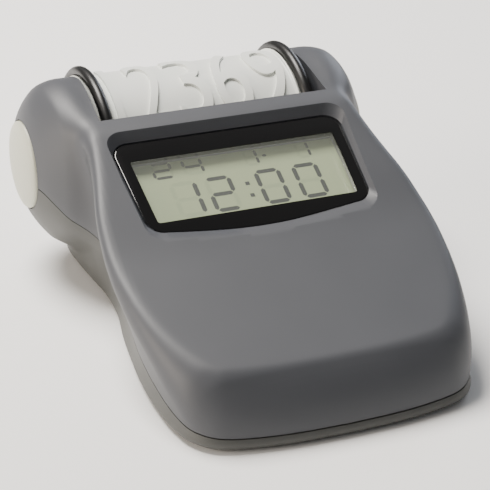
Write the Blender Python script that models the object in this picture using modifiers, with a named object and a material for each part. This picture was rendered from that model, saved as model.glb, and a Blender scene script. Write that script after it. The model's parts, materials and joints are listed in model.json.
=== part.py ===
"""Desk alarm clock with a finger roller across its back.

Every length is in millimetres and is turned to metres when a mesh is made.
World axes: +X right, +Y to the back, +Z up, standing on z = 0.
The casing is drawn round the roller's axis, so most heights and depths
below are measured from that axis ("about the axis") and moved by place().
"""
import math

import bmesh
import bpy
import numpy as np
from mathutils import Matrix, Vector

MM = 0.001
GAP = 0.3                      # clearance between neighbouring pieces

# ---- driving dimensions -------------------------------------------------
AXIS_Y = 43.43                 # roller axis in the world
AXIS_Z = 32.0
FLOOR = -AXIS_Z                # the table, about the axis
CASE_BOTTOM = FLOOR + 0.8      # underside of the lower case
WALL = 2.0                     # casing thickness

BARREL_RADIUS = 21.9           # rear barrel of the casing
BARREL_FLAT = 33.0             # half length of its straight part
BARREL_DOME = 16.5             # length of each domed end
BARREL_POWER = 2.2             # squareness of the domed ends
BARREL_BLEND = 7.0             # softness of the join between barrel and toe
NECK_BLEND = 9.0               # extra softness at the neck on each side
NECK_START = 34.0              # where that softness begins, across
NECK_RUN = 8.0
NECK_FILL = 3.4                # the neck is this much fuller half way up
NECK_SPOT = (-23.0, -9.0)      # y, z of its fullest place
NECK_REACH = (9.0, 10.0)

TOP_FILLET_BACK = 6.0          # roundness of the upper edge beside the display
TOP_FILLET_TOE = 17.0          # roundness of the nose
TOE_START = -84.0              # the edge grows rounder from here to the nose
TOE_RUN = 24.0
TOE_POWER = 1.5
TOP_LEAN = 0.92                # cosine of the top's mean slope
BOTTOM_FILLET = 2.4

DRUM_RADIUS = 22.7             # rims of the roller
FIELD_RADIUS = 21.9            # drum surface between the rims
FIELD_HALF = 26.3
DRUM_HALF = 30.8
RING_X = 29.0
RING_RADIUS = 23.06            # centre line of the rubber rings
RING_WIRE = 1.61
BAY_RADIUS = 26.0              # space the roller turns in
BAY_WALL = 1.6
BAY_HALF_BACK = 31.4
BAY_HALF_FRONT = 32.7
BAY_FRONT = -20.6              # front edge of the roller opening
AXLE_RADIUS = 1.5
AXLE_HALF = 46.0

WHEEL_X = -39.0                # notched wheel on the axle

CAP_RADIUS = 12.0
CAP_SEAT = 46.4
CAP_TOP = 49.8

LENS_TILT = math.radians(25.0)
LENS_CENTRE = (-43.0, 7.75)    # y, z of the lens's outer face
LENS_HALF = 31.7               # halfway along; it widens to the back
LENS_TAPER = 0.05
LENS_REAR = 16.7
LENS_FRONT = 13.7              # at the corners; the front edge bows past it
LENS_BOW = 2.6
LENS_CORNER = 4.6
LENS_THICK = 1.6
WINDOW_HALF = 28.4
WINDOW_REAR = 10.6
WINDOW_FRONT = 10.7

BUTTON_CENTRE = (-43.2, -14.6)
BUTTON_TILT = math.radians(34.0)
BUTTON_LONG = 8.2              # half axes of its oval
BUTTON_SHORT = 2.7
BUTTON_PROUD = 0.7

CELL_RADIUS = 5.2
CELL_LENGTH = 43.0
CELL_Y = (-66.4, -77.6)
CELL_Z = -23.8
DOOR_FRONT = -86.5
DOOR_BACK = -58.5
DOOR_HALF = 24.6
DOOR_THICK = 1.8

FOOT_PLACES = ((33.0, -80.0), (25.0, 5.0))
SCREW_PLACES = ((29.0, -94.0), (28.0, -30.6))

# half of the underside's outline, from the middle of the back to the nose
OUTLINE = (
    (0.0, 14.5), (20.0, 14.4), (30.5, 12.0), (34.5, 5.0), (34.8, -5.0), (34.2, -15.0),
    (33.6, -26.0), (34.6, -38.0), (37.2, -50.0), (39.1, -62.0), (40.6, -74.0),
    (41.1, -85.0), (40.6, -95.0), (38.3, -103.0), (32.0, -109.0), (17.0, -112.2),
    (0.0, -113.0),
)
# outward slope of the side walls, from the nose to the back
DRAFT_LINE = (
    (-130.0, 0.12), (-100.0, 0.19), (-85.0, 0.25), (-72.0, 0.31), (-58.0, 0.38),
    (-45.0, 0.31), (-30.0, 0.18), (-18.0, 0.10), (0.0, 0.05), (20.0, 0.05),
)
# height of the top along the middle, about the axis
TOP_LINE = (
    (-130.0, -21.0), (-112.0, -16.6), (-100.0, -12.9), (-86.0, -8.3), (-72.0, -3.3),
    (-60.0, 1.4), (-46.0, 8.2), (-34.0, 14.2), (-29.0, 16.7), (-25.5, 18.2), (-21.0, 19.0),
    (-10.0, 20.0), (0.0, 19.0), (9.0, 14.0), (16.0, 4.0), (24.0, -14.0),
)
# height of the parting line between the two case halves
SEAM_LINE = (
    (-130.0, -28.9), (-112.0, -28.6), (-102.0, -27.4), (-90.0, -25.2), (-74.0, -22.4),
    (-60.0, -20.2), (-50.0, -18.2), (-42.0, -16.4), (-34.0, -14.2), (-28.0, -12.0),
    (-22.0, -7.4), (-16.0, -3.2), (-11.5, -2.0), (-6.5, -4.0), (0.0, -4.4), (40.0, -4.4),
)
# how much further out the foot of the lower case is than its rim
SKIRT_LINE = (
    (-130.0, 1.5), (-76.0, 1.5), (-60.0, 2.2), (-45.0, 2.9), (-32.0, 2.6), (-22.0, 1.2),
    (-12.0, 0.0), (20.0, 0.0),
)


# ---- scene --------------------------------------------------------------
def clear_scene():
    for thing in list(bpy.data.objects):
        bpy.data.objects.remove(thing, do_unlink=True)
    for group in list(bpy.data.collections):
        bpy.data.collections.remove(group)


def new_collection(name):
    group = bpy.data.collections.new(name)
    bpy.context.scene.collection.children.link(group)
    return group


clear_scene()
PARTS = new_collection("roller_alarm_clock")
CUTTERS = new_collection("cutters")


def material(name, colour, roughness, metallic=0.0):
    """One Principled material per sub-part; colour is sRGB 0 to 1."""
    made = bpy.data.materials.new(name)
    made.use_nodes = True
    shader = made.node_tree.nodes["Principled BSDF"]
    shader.inputs["Base Color"].default_value = (*[c ** 2.2 for c in colour], 1.0)
    shader.inputs["Roughness"].default_value = roughness
    shader.inputs["Metallic"].default_value = metallic
    made.diffuse_color = (*colour, 1.0)
    return made


def place(x, y, z):
    """A point about the roller axis, in metres in the world."""
    return Vector((x, y + AXIS_Y, z + AXIS_Z)) * MM


def link(name, mesh, group, look=None, smooth=None):
    made = bpy.data.objects.new(name, mesh)
    group.objects.link(made)
    if group is CUTTERS:
        made.hide_render = True
        made.display_type = "WIRE"
    if look is not None:
        mesh.materials.clear()
        mesh.materials.append(look)
    if smooth is not None:
        mesh.shade_smooth()
        mesh.set_sharp_from_angle(angle=math.radians(smooth))
    return made


def mesh_from(bm, name):
    bmesh.ops.recalc_face_normals(bm, faces=bm.faces)
    mesh = bpy.data.meshes.new(name)
    bm.to_mesh(mesh)
    bm.free()
    return mesh


def frame_at(origin, tilt):
    """A frame turned about X by tilt, with its origin about the axis."""
    return Matrix.Translation(place(*origin)) @ Matrix.Rotation(tilt, 4, "X")


LENS_FRAME = frame_at((0.0, *LENS_CENTRE), LENS_TILT)
AXIS_FRAME = Matrix.Translation(place(0.0, 0.0, 0.0))
# turns an outline drawn flat into one standing in the Y-Z plane
SIDEWAYS = Matrix(((0, 0, 1, 0), (1, 0, 0, 0), (0, 1, 0, 0), (0, 0, 0, 1)))
# stands a solid of revolution upright: its X axis becomes -Z
UPRIGHT = Matrix.Rotation(math.radians(90.0), 4, "Y")


def box(name, low, high, group, look=None, frame=AXIS_FRAME):
    """A block from corner to corner in a frame, its origin in its middle."""
    bm = bmesh.new()
    bmesh.ops.create_cube(bm, size=1.0)
    size = [(b - a) * MM for a, b in zip(low, high)]
    bmesh.ops.scale(bm, vec=size, verts=bm.verts)
    made = link(name, mesh_from(bm, name), group, look)
    middle = Vector([(a + b) / 2 * MM for a, b in zip(low, high)])
    made.matrix_world = frame @ Matrix.Translation(middle)
    return made


def rod(name, start, end, radius, group, look=None, sides=16, frame=AXIS_FRAME):
    """A cylinder between two points of a frame."""
    a = Vector(start) * MM
    b = Vector(end) * MM
    bm = bmesh.new()
    bmesh.ops.create_cone(bm, cap_ends=True, segments=sides, radius1=radius * MM,
                          radius2=radius * MM, depth=(b - a).length)
    made = link(name, mesh_from(bm, name), group, look, smooth=30)
    turn = (b - a).to_track_quat("Z", "Y").to_matrix().to_4x4()
    made.matrix_world = frame @ Matrix.Translation((a + b) / 2) @ turn
    return made


def turned(name, profile, steps, group, look=None, frame=AXIS_FRAME):
    """A closed profile of (along, radius) swept round the frame's X axis."""
    area = sum(a[0] * b[1] - b[0] * a[1] for a, b in zip(profile, profile[1:] + profile[:1]))
    if area < 0.0:
        profile = profile[::-1]
    bm = bmesh.new()
    points = [bm.verts.new((r * MM, 0.0, along * MM)) for along, r in profile]
    for here, after in zip(points, points[1:] + points[:1]):
        bm.edges.new((here, after))
    mesh = bpy.data.meshes.new(name)
    bm.to_mesh(mesh)
    bm.free()
    made = link(name, mesh, group, look)
    screw = made.modifiers.new("turn", "SCREW")
    screw.axis = "Z"
    screw.steps = steps
    screw.render_steps = steps
    screw.use_merge_vertices = True
    screw.merge_threshold = 0.00001
    screw.use_smooth_shade = True
    made.matrix_world = frame @ UPRIGHT
    return made


def solid_of_revolution(name, profile, steps, group, look=None, frame=AXIS_FRAME):
    """Like turned(), for a profile that starts and ends on the axis."""
    bm = bmesh.new()
    points = [bm.verts.new((r * MM, 0.0, along * MM)) for along, r in profile]
    for here, after in zip(points, points[1:]):
        bm.edges.new((here, after))
    bmesh.ops.spin(bm, geom=bm.verts[:] + bm.edges[:], cent=(0, 0, 0), axis=(0, 0, 1),
                   angle=math.tau, steps=steps, use_merge=True)
    bmesh.ops.remove_doubles(bm, verts=bm.verts, dist=0.000002)
    made = link(name, mesh_from(bm, name), group, look, smooth=35)
    made.matrix_world = frame @ UPRIGHT
    return made


def slab(name, outline, low, high, group, look=None, frame=AXIS_FRAME):
    """A flat outline of (x, y) with a thickness from low to high."""
    curve = bpy.data.curves.new(name, "CURVE")
    curve.dimensions = "2D"
    curve.fill_mode = "BOTH"
    curve.extrude = (high - low) / 2 * MM
    spline = curve.splines.new("POLY")
    spline.points.add(len(outline) - 1)
    for point, (x, y) in zip(spline.points, outline):
        point.co = (x * MM, y * MM, 0.0, 1.0)
    spline.use_cyclic_u = True
    matrix = frame @ Matrix.Translation((0.0, 0.0, (low + high) / 2 * MM))
    return curve_to_mesh(name, curve, matrix, group, look)


def wire(name, points, radius, group, look, resolution=2):
    """A wire through points about the axis, as a closed mesh."""
    curve = bpy.data.curves.new(name, "CURVE")
    curve.dimensions = "3D"
    curve.bevel_depth = radius * MM
    curve.bevel_resolution = resolution
    curve.use_fill_caps = True
    spline = curve.splines.new("POLY")
    spline.points.add(len(points) - 1)
    for point, spot in zip(spline.points, points):
        point.co = (*(Vector(spot) * MM), 1.0)
    return curve_to_mesh(name, curve, AXIS_FRAME, group, look)


def curve_to_mesh(name, curve, matrix, group, look):
    carrier = bpy.data.objects.new(name + "_curve", curve)
    group.objects.link(carrier)
    carrier.matrix_world = matrix
    bpy.context.view_layer.update()
    shown = carrier.evaluated_get(bpy.context.evaluated_depsgraph_get())
    mesh = bpy.data.meshes.new_from_object(shown)
    bm = bmesh.new()
    bm.from_mesh(mesh)
    bmesh.ops.remove_doubles(bm, verts=bm.verts, dist=0.000002)
    bpy.data.objects.remove(carrier, do_unlink=True)
    bpy.data.meshes.remove(mesh)
    made = link(name, mesh_from(bm, name), group, look)
    made.matrix_world = matrix
    return made


def boolean(target, tool, operation="DIFFERENCE"):
    cut = target.modifiers.new(operation.lower() + "_" + tool.name, "BOOLEAN")
    cut.operation = operation
    cut.object = tool
    cut.solver = "EXACT"
    return cut


def settle(thing):
    """Turn an object and its modifiers into one plain mesh."""
    bpy.context.view_layer.update()
    shown = thing.evaluated_get(bpy.context.evaluated_depsgraph_get())
    mesh = bpy.data.meshes.new_from_object(shown)
    thing.modifiers.clear()
    thing.data = mesh


# ---- the casing's form --------------------------------------------------
def smooth_line(points, pieces=6):
    """A rounded line through points (Catmull-Rom), as an array."""
    spots = np.array(points, float)
    padded = np.vstack([2 * spots[0] - spots[1], spots, 2 * spots[-1] - spots[-2]])
    t = np.linspace(0.0, 1.0, pieces, endpoint=False)[:, None]
    rows = []
    for a, b, c, d in zip(padded, padded[1:], padded[2:], padded[3:]):
        rows.append(0.5 * (2 * b + (c - a) * t + (2 * a - 5 * b + 4 * c - d) * t ** 2
                           + (3 * b - a - 3 * c + d) * t ** 3))
    return np.vstack(rows + [spots[-1:]])


PLAN = smooth_line(OUTLINE)
TOP = smooth_line(TOP_LINE)
SEAM = smooth_line(SEAM_LINE)
SLOPE = smooth_line(DRAFT_LINE)
SKIRT = smooth_line(SKIRT_LINE)


def plan_distance(x, y):
    """Signed distance from the underside's outline, negative inside."""
    near = np.full(x.shape, 1e9)
    inside = np.zeros(x.shape, bool)
    for (ax, ay), (bx, by) in zip(PLAN, PLAN[1:]):
        ex, ey = bx - ax, by - ay
        t = np.clip(((x - ax) * ex + (y - ay) * ey) / (ex * ex + ey * ey), 0.0, 1.0)
        near = np.minimum(near, np.hypot(x - ax - t * ex, y - ay - t * ey))
        crosses = (ay > y) != (by > y)
        at = ax + (y - ay) * ex / (ey if abs(ey) > 1e-9 else 1e-9)
        inside ^= crosses & (x < at)
    return np.where(inside, -near, near)


def rounded_join(a, b, radius):
    """Distance to the meeting of two solids, its edge rounded."""
    over = np.hypot(np.maximum(a + radius, 0.0), np.maximum(b + radius, 0.0)) - radius
    return np.where((a > -radius) & (b > -radius), over, np.maximum(a, b))


def soft_union(a, b, width):
    mix = np.clip(0.5 + 0.5 * (b - a) / width, 0.0, 1.0)
    return b * (1.0 - mix) + a * mix - width * mix * (1.0 - mix)


def casing(points):
    """Roughly the distance of points about the axis from the outer skin."""
    x, y, z = np.abs(points[:, 0]), points[:, 1], points[:, 2]
    dome = (np.maximum(x - BARREL_FLAT, 0.0) / BARREL_DOME) ** BARREL_POWER
    round_ = (np.hypot(y, z) / BARREL_RADIUS) ** BARREL_POWER
    barrel = ((dome + round_) ** (1.0 / BARREL_POWER) - 1.0) * BARREL_RADIUS
    draft = np.interp(y, SLOPE[:, 0], SLOPE[:, 1])
    seam = np.interp(y, SEAM[:, 0], SEAM[:, 1])
    skirt = np.interp(y, SKIRT[:, 0], SKIRT[:, 1])
    skirt = skirt * np.clip((z - CASE_BOTTOM) / (seam - CASE_BOTTOM), 0.0, 1.0)
    wall = (plan_distance(x, y) + skirt - draft * (z - CASE_BOTTOM)) / np.hypot(1.0, draft)
    bump = ((y - NECK_SPOT[0]) / NECK_REACH[0]) ** 2 + ((z - NECK_SPOT[1]) / NECK_REACH[1]) ** 2
    wall -= NECK_FILL * np.exp(-bump)
    roof = (z - np.interp(y, TOP[:, 0], TOP[:, 1])) * TOP_LEAN
    toe = np.clip((TOE_START - y) / TOE_RUN, 0.0, 1.0)
    edge = TOP_FILLET_BACK + (TOP_FILLET_TOE - TOP_FILLET_BACK) * toe ** TOE_POWER
    body = rounded_join(wall, roof, edge)
    body = rounded_join(body, CASE_BOTTOM - z, BOTTOM_FILLET)
    width = BARREL_BLEND + NECK_BLEND * np.clip((x - NECK_START) / NECK_RUN, 0.0, 1.0)
    return soft_union(barrel, body, width)


SPINE = np.array([[0.0, -88.0, -19.0], [0.0, -45.0, -9.0], [0.0, 0.0, 0.0]])
NOSE = -112.0                  # ends of the casing, where the grid's rays aim
BACK = 22.0
RIM_HALF = 43.0                # the grid's upper edge runs along the casing's rim
RIM_DROP = 2.2
RIM_LEAST = 7.0


def skin(name, counts, offset, group, look=None):
    """The casing's form as a closed mesh: a gridded block whose points are
    sent out from a line inside it until they meet the skin, offset inwards."""
    bm = bmesh.new()
    bmesh.ops.create_cube(bm, size=2.0)
    for axis, count in enumerate(counts):
        for cut in range(1, count):
            where = Vector((0.0, 0.0, 0.0))
            where[axis] = -1.0 + 2.0 * cut / count
            normal = Vector((0.0, 0.0, 0.0))
            normal[axis] = 1.0
            bmesh.ops.bisect_plane(bm, geom=bm.verts[:] + bm.edges[:] + bm.faces[:],
                                   plane_co=where, plane_no=normal, dist=1e-6)
    grid = np.array([vert.co for vert in bm.verts])
    along = (grid[:, 1] + 1.0) / 2.0
    spots = np.linspace(0.0, 1.0, len(SPINE))
    start = np.stack([np.interp(along, spots, SPINE[:, k]) for k in range(3)], axis=1)
    depth = NOSE + (BACK - NOSE) * along
    rim = np.interp(depth, TOP[:, 0], TOP[:, 1]) - RIM_DROP
    rim = np.maximum(rim, start[:, 2] + RIM_LEAST)
    foot = CASE_BOTTOM + BOTTOM_FILLET / 2.0
    climb = np.where(grid[:, 2] > 0.0, rim - start[:, 2], start[:, 2] - foot)
    aim = np.stack([grid[:, 0] * RIM_HALF, depth, start[:, 2] + grid[:, 2] * climb], axis=1)
    ray = aim - start
    ray /= np.linalg.norm(ray, axis=1)[:, None]
    low = np.zeros(len(ray))
    high = np.full(len(ray), 75.0)
    for _ in range(26):
        half = (low + high) / 2.0
        out = casing(start + ray * half[:, None]) + offset > 0.0
        high = np.where(out, half, high)
        low = np.where(out, low, half)
    found = start + ray * low[:, None]
    for vert, spot in zip(bm.verts, found):
        vert.co = Vector(spot) * MM
    bmesh.ops.triangulate(bm, faces=bm.faces, quad_method="SHORT_EDGE")
    made = link(name, mesh_from(bm, name), group, look, smooth=40)
    made.matrix_world = AXIS_FRAME
    return made


def seam_height(y):
    return float(np.interp(y, SEAM[:, 0], SEAM[:, 1]))


def side_prism(name, line, half_width, group):
    """A solid whose outline lies in the Y-Z plane, straight along X."""
    return slab(name, line, -half_width, half_width, group, frame=AXIS_FRAME @ SIDEWAYS)


def seam_side(name, above):
    """Everything above or below the parting line, and half a gap past it."""
    shift = -GAP / 2 if above else GAP / 2
    far = 60.0 if above else -60.0
    line = [(y, z + shift) for y, z in SEAM[::2]]
    return side_prism(name, line + [(60.0, far), (-140.0, far)], 70.0, CUTTERS)


def wall_frame(side):
    """A frame on the side wall at a button: x out of the wall."""
    y, z = BUTTON_CENTRE
    reach = np.linspace(20.0, 60.0, 4001)
    ray = np.stack([reach, np.full(reach.shape, y), np.full(reach.shape, z)], axis=1)
    x = reach[np.argmax(casing(ray) > 0.0)]
    step = 0.5
    here = np.array([[x, y, z]])
    slope = [float((casing(here + d) - casing(here - d))[0]) for d in np.eye(3) * step]
    out = Vector(slope).normalized()
    long = Vector((0.0, math.cos(BUTTON_TILT), math.sin(BUTTON_TILT)))
    long = (long - out * long.dot(out)).normalized()
    up = out.cross(long)
    rows = Matrix((out, long, up)).transposed().to_4x4()
    if side < 0:
        mirror = Matrix.Diagonal((-1.0, 1.0, 1.0, 1.0))
        rows = mirror @ rows @ Matrix.Diagonal((1.0, 1.0, -1.0, 1.0))
    return Matrix.Translation(place(side * x, y, z)) @ rows


def oval(long, short, count):
    turns = [math.tau * k / count for k in range(count)]
    return [(long * math.cos(t), short * math.sin(t)) for t in turns]


def lens_outline(grow=0.0, corner_steps=4, bow_steps=6):
    """The lens seen square on: round corners, a bowed front and tapering sides."""
    half = LENS_HALF + grow
    rear = LENS_REAR + grow
    front = LENS_FRONT + grow
    r = LENS_CORNER + grow
    points = []
    for cx, cy, start in ((half - r, rear - r, 0), (-half + r, rear - r, 90),
                          (-half + r, -front + r, 180), (half - r, -front + r, 270)):
        for step in range(corner_steps + 1):
            angle = math.radians(start + 90.0 * step / corner_steps)
            points.append((cx + r * math.cos(angle), cy + r * math.sin(angle)))
        if start == 180:
            for step in range(1, bow_steps):
                t = step / bow_steps
                x = (-half + r) * (1.0 - t) + (half - r) * t
                points.append((x, -front - LENS_BOW * math.sin(math.pi * t)))
    return [(x * (1.0 + LENS_TAPER * y / LENS_HALF), y) for x, y in points]


def frustum(name, low_outline, high_outline, low, high, group, frame):
    """A loft between two outlines with the same number of points."""
    bm = bmesh.new()
    rings = []
    for outline, height in ((low_outline, low), (high_outline, high)):
        rings.append([bm.verts.new((x * MM, y * MM, height * MM)) for x, y in outline])
    count = len(low_outline)
    for k in range(count):
        after = (k + 1) % count
        bm.faces.new((rings[0][k], rings[0][after], rings[1][after], rings[1][k]))
    bm.faces.new(rings[0][::-1])
    bm.faces.new(rings[1])
    made = link(name, mesh_from(bm, name), group)
    made.matrix_world = frame
    return made


def flare(outline, height):
    """The display recess opens out upwards, most of all towards the toe."""
    grown = []
    for x, y in outline:
        side = 0.55 * height * max(-1.0, min(1.0, x / (LENS_HALF - LENS_CORNER)))
        if y > 0.0:
            along = 1.05 * height * min(1.0, y / (LENS_REAR - LENS_CORNER))
        else:
            along = 2.2 * height * max(-1.0, y / (LENS_FRONT - LENS_CORNER))
        grown.append((x + side, y + along))
    return grown


# ---- looks --------------------------------------------------------------
CASE_GREY = (0.47, 0.475, 0.485)
TOP_GREY = (0.48, 0.485, 0.50)
OFF_WHITE = (0.86, 0.87, 0.84)
BLACK = (0.08, 0.08, 0.085)
STEEL = (0.75, 0.75, 0.74)
BOARD_GREEN = (0.16, 0.37, 0.2)


def build_casing():
    """Both case halves are one hollowed form, parted along the seam."""
    hollow = skin("hollow", (8, 14, 6), WALL, CUTTERS)
    bay_block = rod("bay_block", (-34.3, 0.0, 0.0), (34.3, 0.0, 0.0),
                    BAY_RADIUS + BAY_WALL, CUTTERS, sides=32)
    boolean(hollow, bay_block)
    lens_block = slab("lens_block", lens_outline(2.0, 2, 2), -3.6, 8.0, CUTTERS,
                      frame=LENS_FRAME)
    boolean(hollow, lens_block)
    for side in (-1.0, 1.0):
        seat = rod("cap_seat_block", (side * 44.4, 0.0, 0.0), (side * 52.0, 0.0, 0.0),
                   CAP_RADIUS + 2.0, CUTTERS, sides=24)
        boolean(hollow, seat)
        rib = box("cell_rib", (side * 26.6 - 0.7, -84.0, -34.0),
                  (side * 26.6 + 0.7, -61.5, 6.0), CUTTERS)
        boolean(hollow, rib)
        for x, y in SCREW_PLACES:
            top = 20.0 if y < -80.0 else -2.0
            post = rod("screw_post", (side * x, y, -40.0), (side * x, y, top), 3.6,
                       CUTTERS, sides=14)
            boolean(hollow, post)
    settle(hollow)

    lip = 0.25
    plan = [(BAY_HALF_BACK, 60.0), (BAY_HALF_BACK, 0.0), (BAY_HALF_FRONT, BAY_FRONT)]
    plan += [(-x, y) for x, y in plan[::-1]]
    opening = slab("roller_opening", plan, -20.0, 50.0, CUTTERS)
    side = [(BAY_HALF_BACK - lip, 61.0), (BAY_HALF_BACK - lip, 0.0),
            (BAY_HALF_FRONT - lip, BAY_FRONT), (BAY_HALF_FRONT - lip, -50.0)]
    bay = slab("roller_bay", side + [(-x, y) for x, y in side[::-1]], -40.0, 51.0, CUTTERS)
    swept = rod("roller_sweep", (-36.0, 0.0, 0.0), (36.0, 0.0, 0.0), BAY_RADIUS,
                CUTTERS, sides=36)
    boolean(bay, swept, "INTERSECT")
    settle(bay)

    names = (("upper_case", True, TOP_GREY), ("lower_case", False, CASE_GREY))
    for name, above, colour in names:
        half = skin(name, (14, 26, 8), 0.0, PARTS, material(name, colour, 0.5))
        boolean(half, hollow)
        boolean(half, seam_side(name + "_parting", not above))
        boolean(half, bay)
        boolean(half, opening)
        for side in (-1.0, 1.0):
            seat = rod("cap_seat", (side * CAP_SEAT, 0.0, 0.0), (side * 60.0, 0.0, 0.0),
                       CAP_RADIUS + GAP, CUTTERS, sides=32)
            boolean(half, seat)
            frame = wall_frame(side)
            hole = oval_prism("button_hole", BUTTON_LONG + 0.25, BUTTON_SHORT + 0.25,
                              -6.0, 6.0, frame, CUTTERS)
            boolean(half, hole)
        if above:
            cut_upper(half)
        else:
            cut_lower(half)
        settle(half)
        tidy(half)


def oval_prism(name, long, short, low, high, frame, group, look=None):
    """An oval bar along the frame's x axis."""
    return slab(name, oval(long, short, 24), low, high, group, look, frame @ SIDEWAYS)


def cut_upper(half):
    outline = lens_outline(GAP)
    recess = frustum("display_recess", outline, flare(outline, 9.0), -0.05, 9.0, CUTTERS,
                     LENS_FRAME)
    boolean(half, recess)
    pocket = slab("lens_pocket", outline, -LENS_THICK - 0.2, 0.5, CUTTERS, frame=LENS_FRAME)
    boolean(half, pocket)
    window = box("display_window", (-WINDOW_HALF - 0.8, -WINDOW_FRONT - 0.8, -6.0),
                 (WINDOW_HALF + 0.8, WINDOW_REAR + 0.4, 0.0), CUTTERS, frame=LENS_FRAME)
    boolean(half, window)
    for side in (-1.0, 1.0):
        bore = rod("axle_bore", (side * 30.0, 0.0, 0.0), (side * 36.0, 0.0, 0.0), 3.3,
                   CUTTERS, sides=20)
        boolean(half, bore)
        tip = rod("axle_tip_bore", (side * 43.0, 0.0, 0.0), (side * 50.0, 0.0, 0.0), 1.9,
                  CUTTERS, sides=16)
        boolean(half, tip)
        for x, y in SCREW_PLACES:
            seam = seam_height(y)
            pilot = rod("pilot_hole", (side * x, y, seam - 5.0), (side * x, y, seam + 7.5),
                        1.35, CUTTERS, sides=10)
            boolean(half, pilot)


def cut_lower(half):
    door = box("door_opening", (-DOOR_HALF - GAP, DOOR_FRONT - GAP, FLOOR - 8.0),
               (DOOR_HALF + GAP, DOOR_BACK + GAP, CASE_BOTTOM + WALL + 0.1), CUTTERS)
    boolean(half, door)
    for side in (-1.0, 1.0):
        for x, y in SCREW_PLACES:
            seam = seam_height(y)
            shank = rod("shank_hole", (side * x, y, -40.0), (side * x, y, seam + 5.0),
                        1.6, CUTTERS, sides=10)
            boolean(half, shank)
            head = rod("head_hole", (side * x, y, -40.0), (side * x, y, head_top(y) + GAP),
                       2.9, CUTTERS, sides=14)
            boolean(half, head)
        for x, y in FOOT_PLACES:
            pocket = rod("foot_pocket", (side * x, y, -40.0), (side * x, y, CASE_BOTTOM + 0.6),
                         4.3, CUTTERS, sides=20)
            boolean(half, pocket)


def head_top(y):
    """Height at which a case screw's head bears on its post."""
    seam = seam_height(y)
    if y < DOOR_FRONT:
        return CASE_BOTTOM + 2.4
    return seam - 8.0


def tidy(thing):
    """Weld the slivers that cutting leaves."""
    bm = bmesh.new()
    bm.from_mesh(thing.data)
    bmesh.ops.remove_doubles(bm, verts=bm.verts, dist=0.00001)
    bmesh.ops.dissolve_degenerate(bm, dist=0.00001, edges=bm.edges)
    bm.to_mesh(thing.data)
    bm.free()


# ---- roller -------------------------------------------------------------
def build_roller():
    groove = RING_WIRE + 0.25
    floor = RING_RADIUS - RING_WIRE - GAP
    half = [(FIELD_HALF, FIELD_RADIUS), (FIELD_HALF, DRUM_RADIUS),
            (RING_X - groove, DRUM_RADIUS), (RING_X - groove, floor),
            (RING_X + groove - 0.2, floor), (RING_X + groove - 0.2, DRUM_RADIUS - 0.5),
            (DRUM_HALF, DRUM_RADIUS - 0.9), (DRUM_HALF, 19.6), (1.2, 19.6), (1.2, 4.2),
            (29.8, 4.2), (29.8, AXLE_RADIUS + 0.2)]
    left = [(-x, r) for x, r in half[::-1]]
    turned("roller_drum", left + half, 36, PARTS, material("roller_drum", OFF_WHITE, 0.45))
    for side, name in ((-1.0, "ring_left"), (1.0, "ring_right")):
        bpy.ops.mesh.primitive_torus_add(
            major_segments=36, minor_segments=8, major_radius=RING_RADIUS * MM,
            minor_radius=RING_WIRE * MM)
        ring = bpy.context.object
        ring.name = name
        ring.data.name = name
        for group in list(ring.users_collection):
            group.objects.unlink(ring)
        PARTS.objects.link(ring)
        ring.data.materials.append(material(name, BLACK, 0.35))
        ring.data.shade_smooth()
        seat = Matrix.Translation((side * RING_X * MM, 0.0, 0.0))
        ring.matrix_world = AXIS_FRAME @ seat @ UPRIGHT
    rod("axle", (-AXLE_HALF + 0.2, 0.0, 0.0), (AXLE_HALF - 0.2, 0.0, 0.0), AXLE_RADIUS, PARTS,
        material("axle", STEEL, 0.25, 1.0), sides=16)
    for side, name in ((-1.0, "bush_left"), (1.0, "bush_right")):
        profile = [(35.6, AXLE_RADIUS + 0.15), (35.6, 4.4), (34.6, 4.4), (34.6, 3.0),
                   (31.7, 3.0), (31.7, AXLE_RADIUS + 0.15)]
        turned(name, [(side * x, r) for x, r in profile], 20, PARTS,
               material(name, (0.9, 0.9, 0.88), 0.4))
    build_encoder()
    for side, name in ((-1.0, "end_cap_left"), (1.0, "end_cap_right")):
        dome = [(CAP_TOP, 0.0)]
        rim = CAP_SEAT + 1.2
        for k in range(1, 5):
            angle = math.radians(90.0 * k / 4)
            rise = (CAP_TOP - rim) * math.cos(angle) ** 0.8 if k < 4 else 0.0
            dome.append((rim + rise, CAP_RADIUS * math.sin(angle)))
        profile = dome + [(CAP_SEAT + 0.3, CAP_RADIUS), (CAP_SEAT + 0.3, 0.0)]
        profile = [(side * x, r) for x, r in profile]
        solid_of_revolution(name, profile, 24, PARTS,
                            material(name, (0.83, 0.83, 0.78), 0.45))


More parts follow.
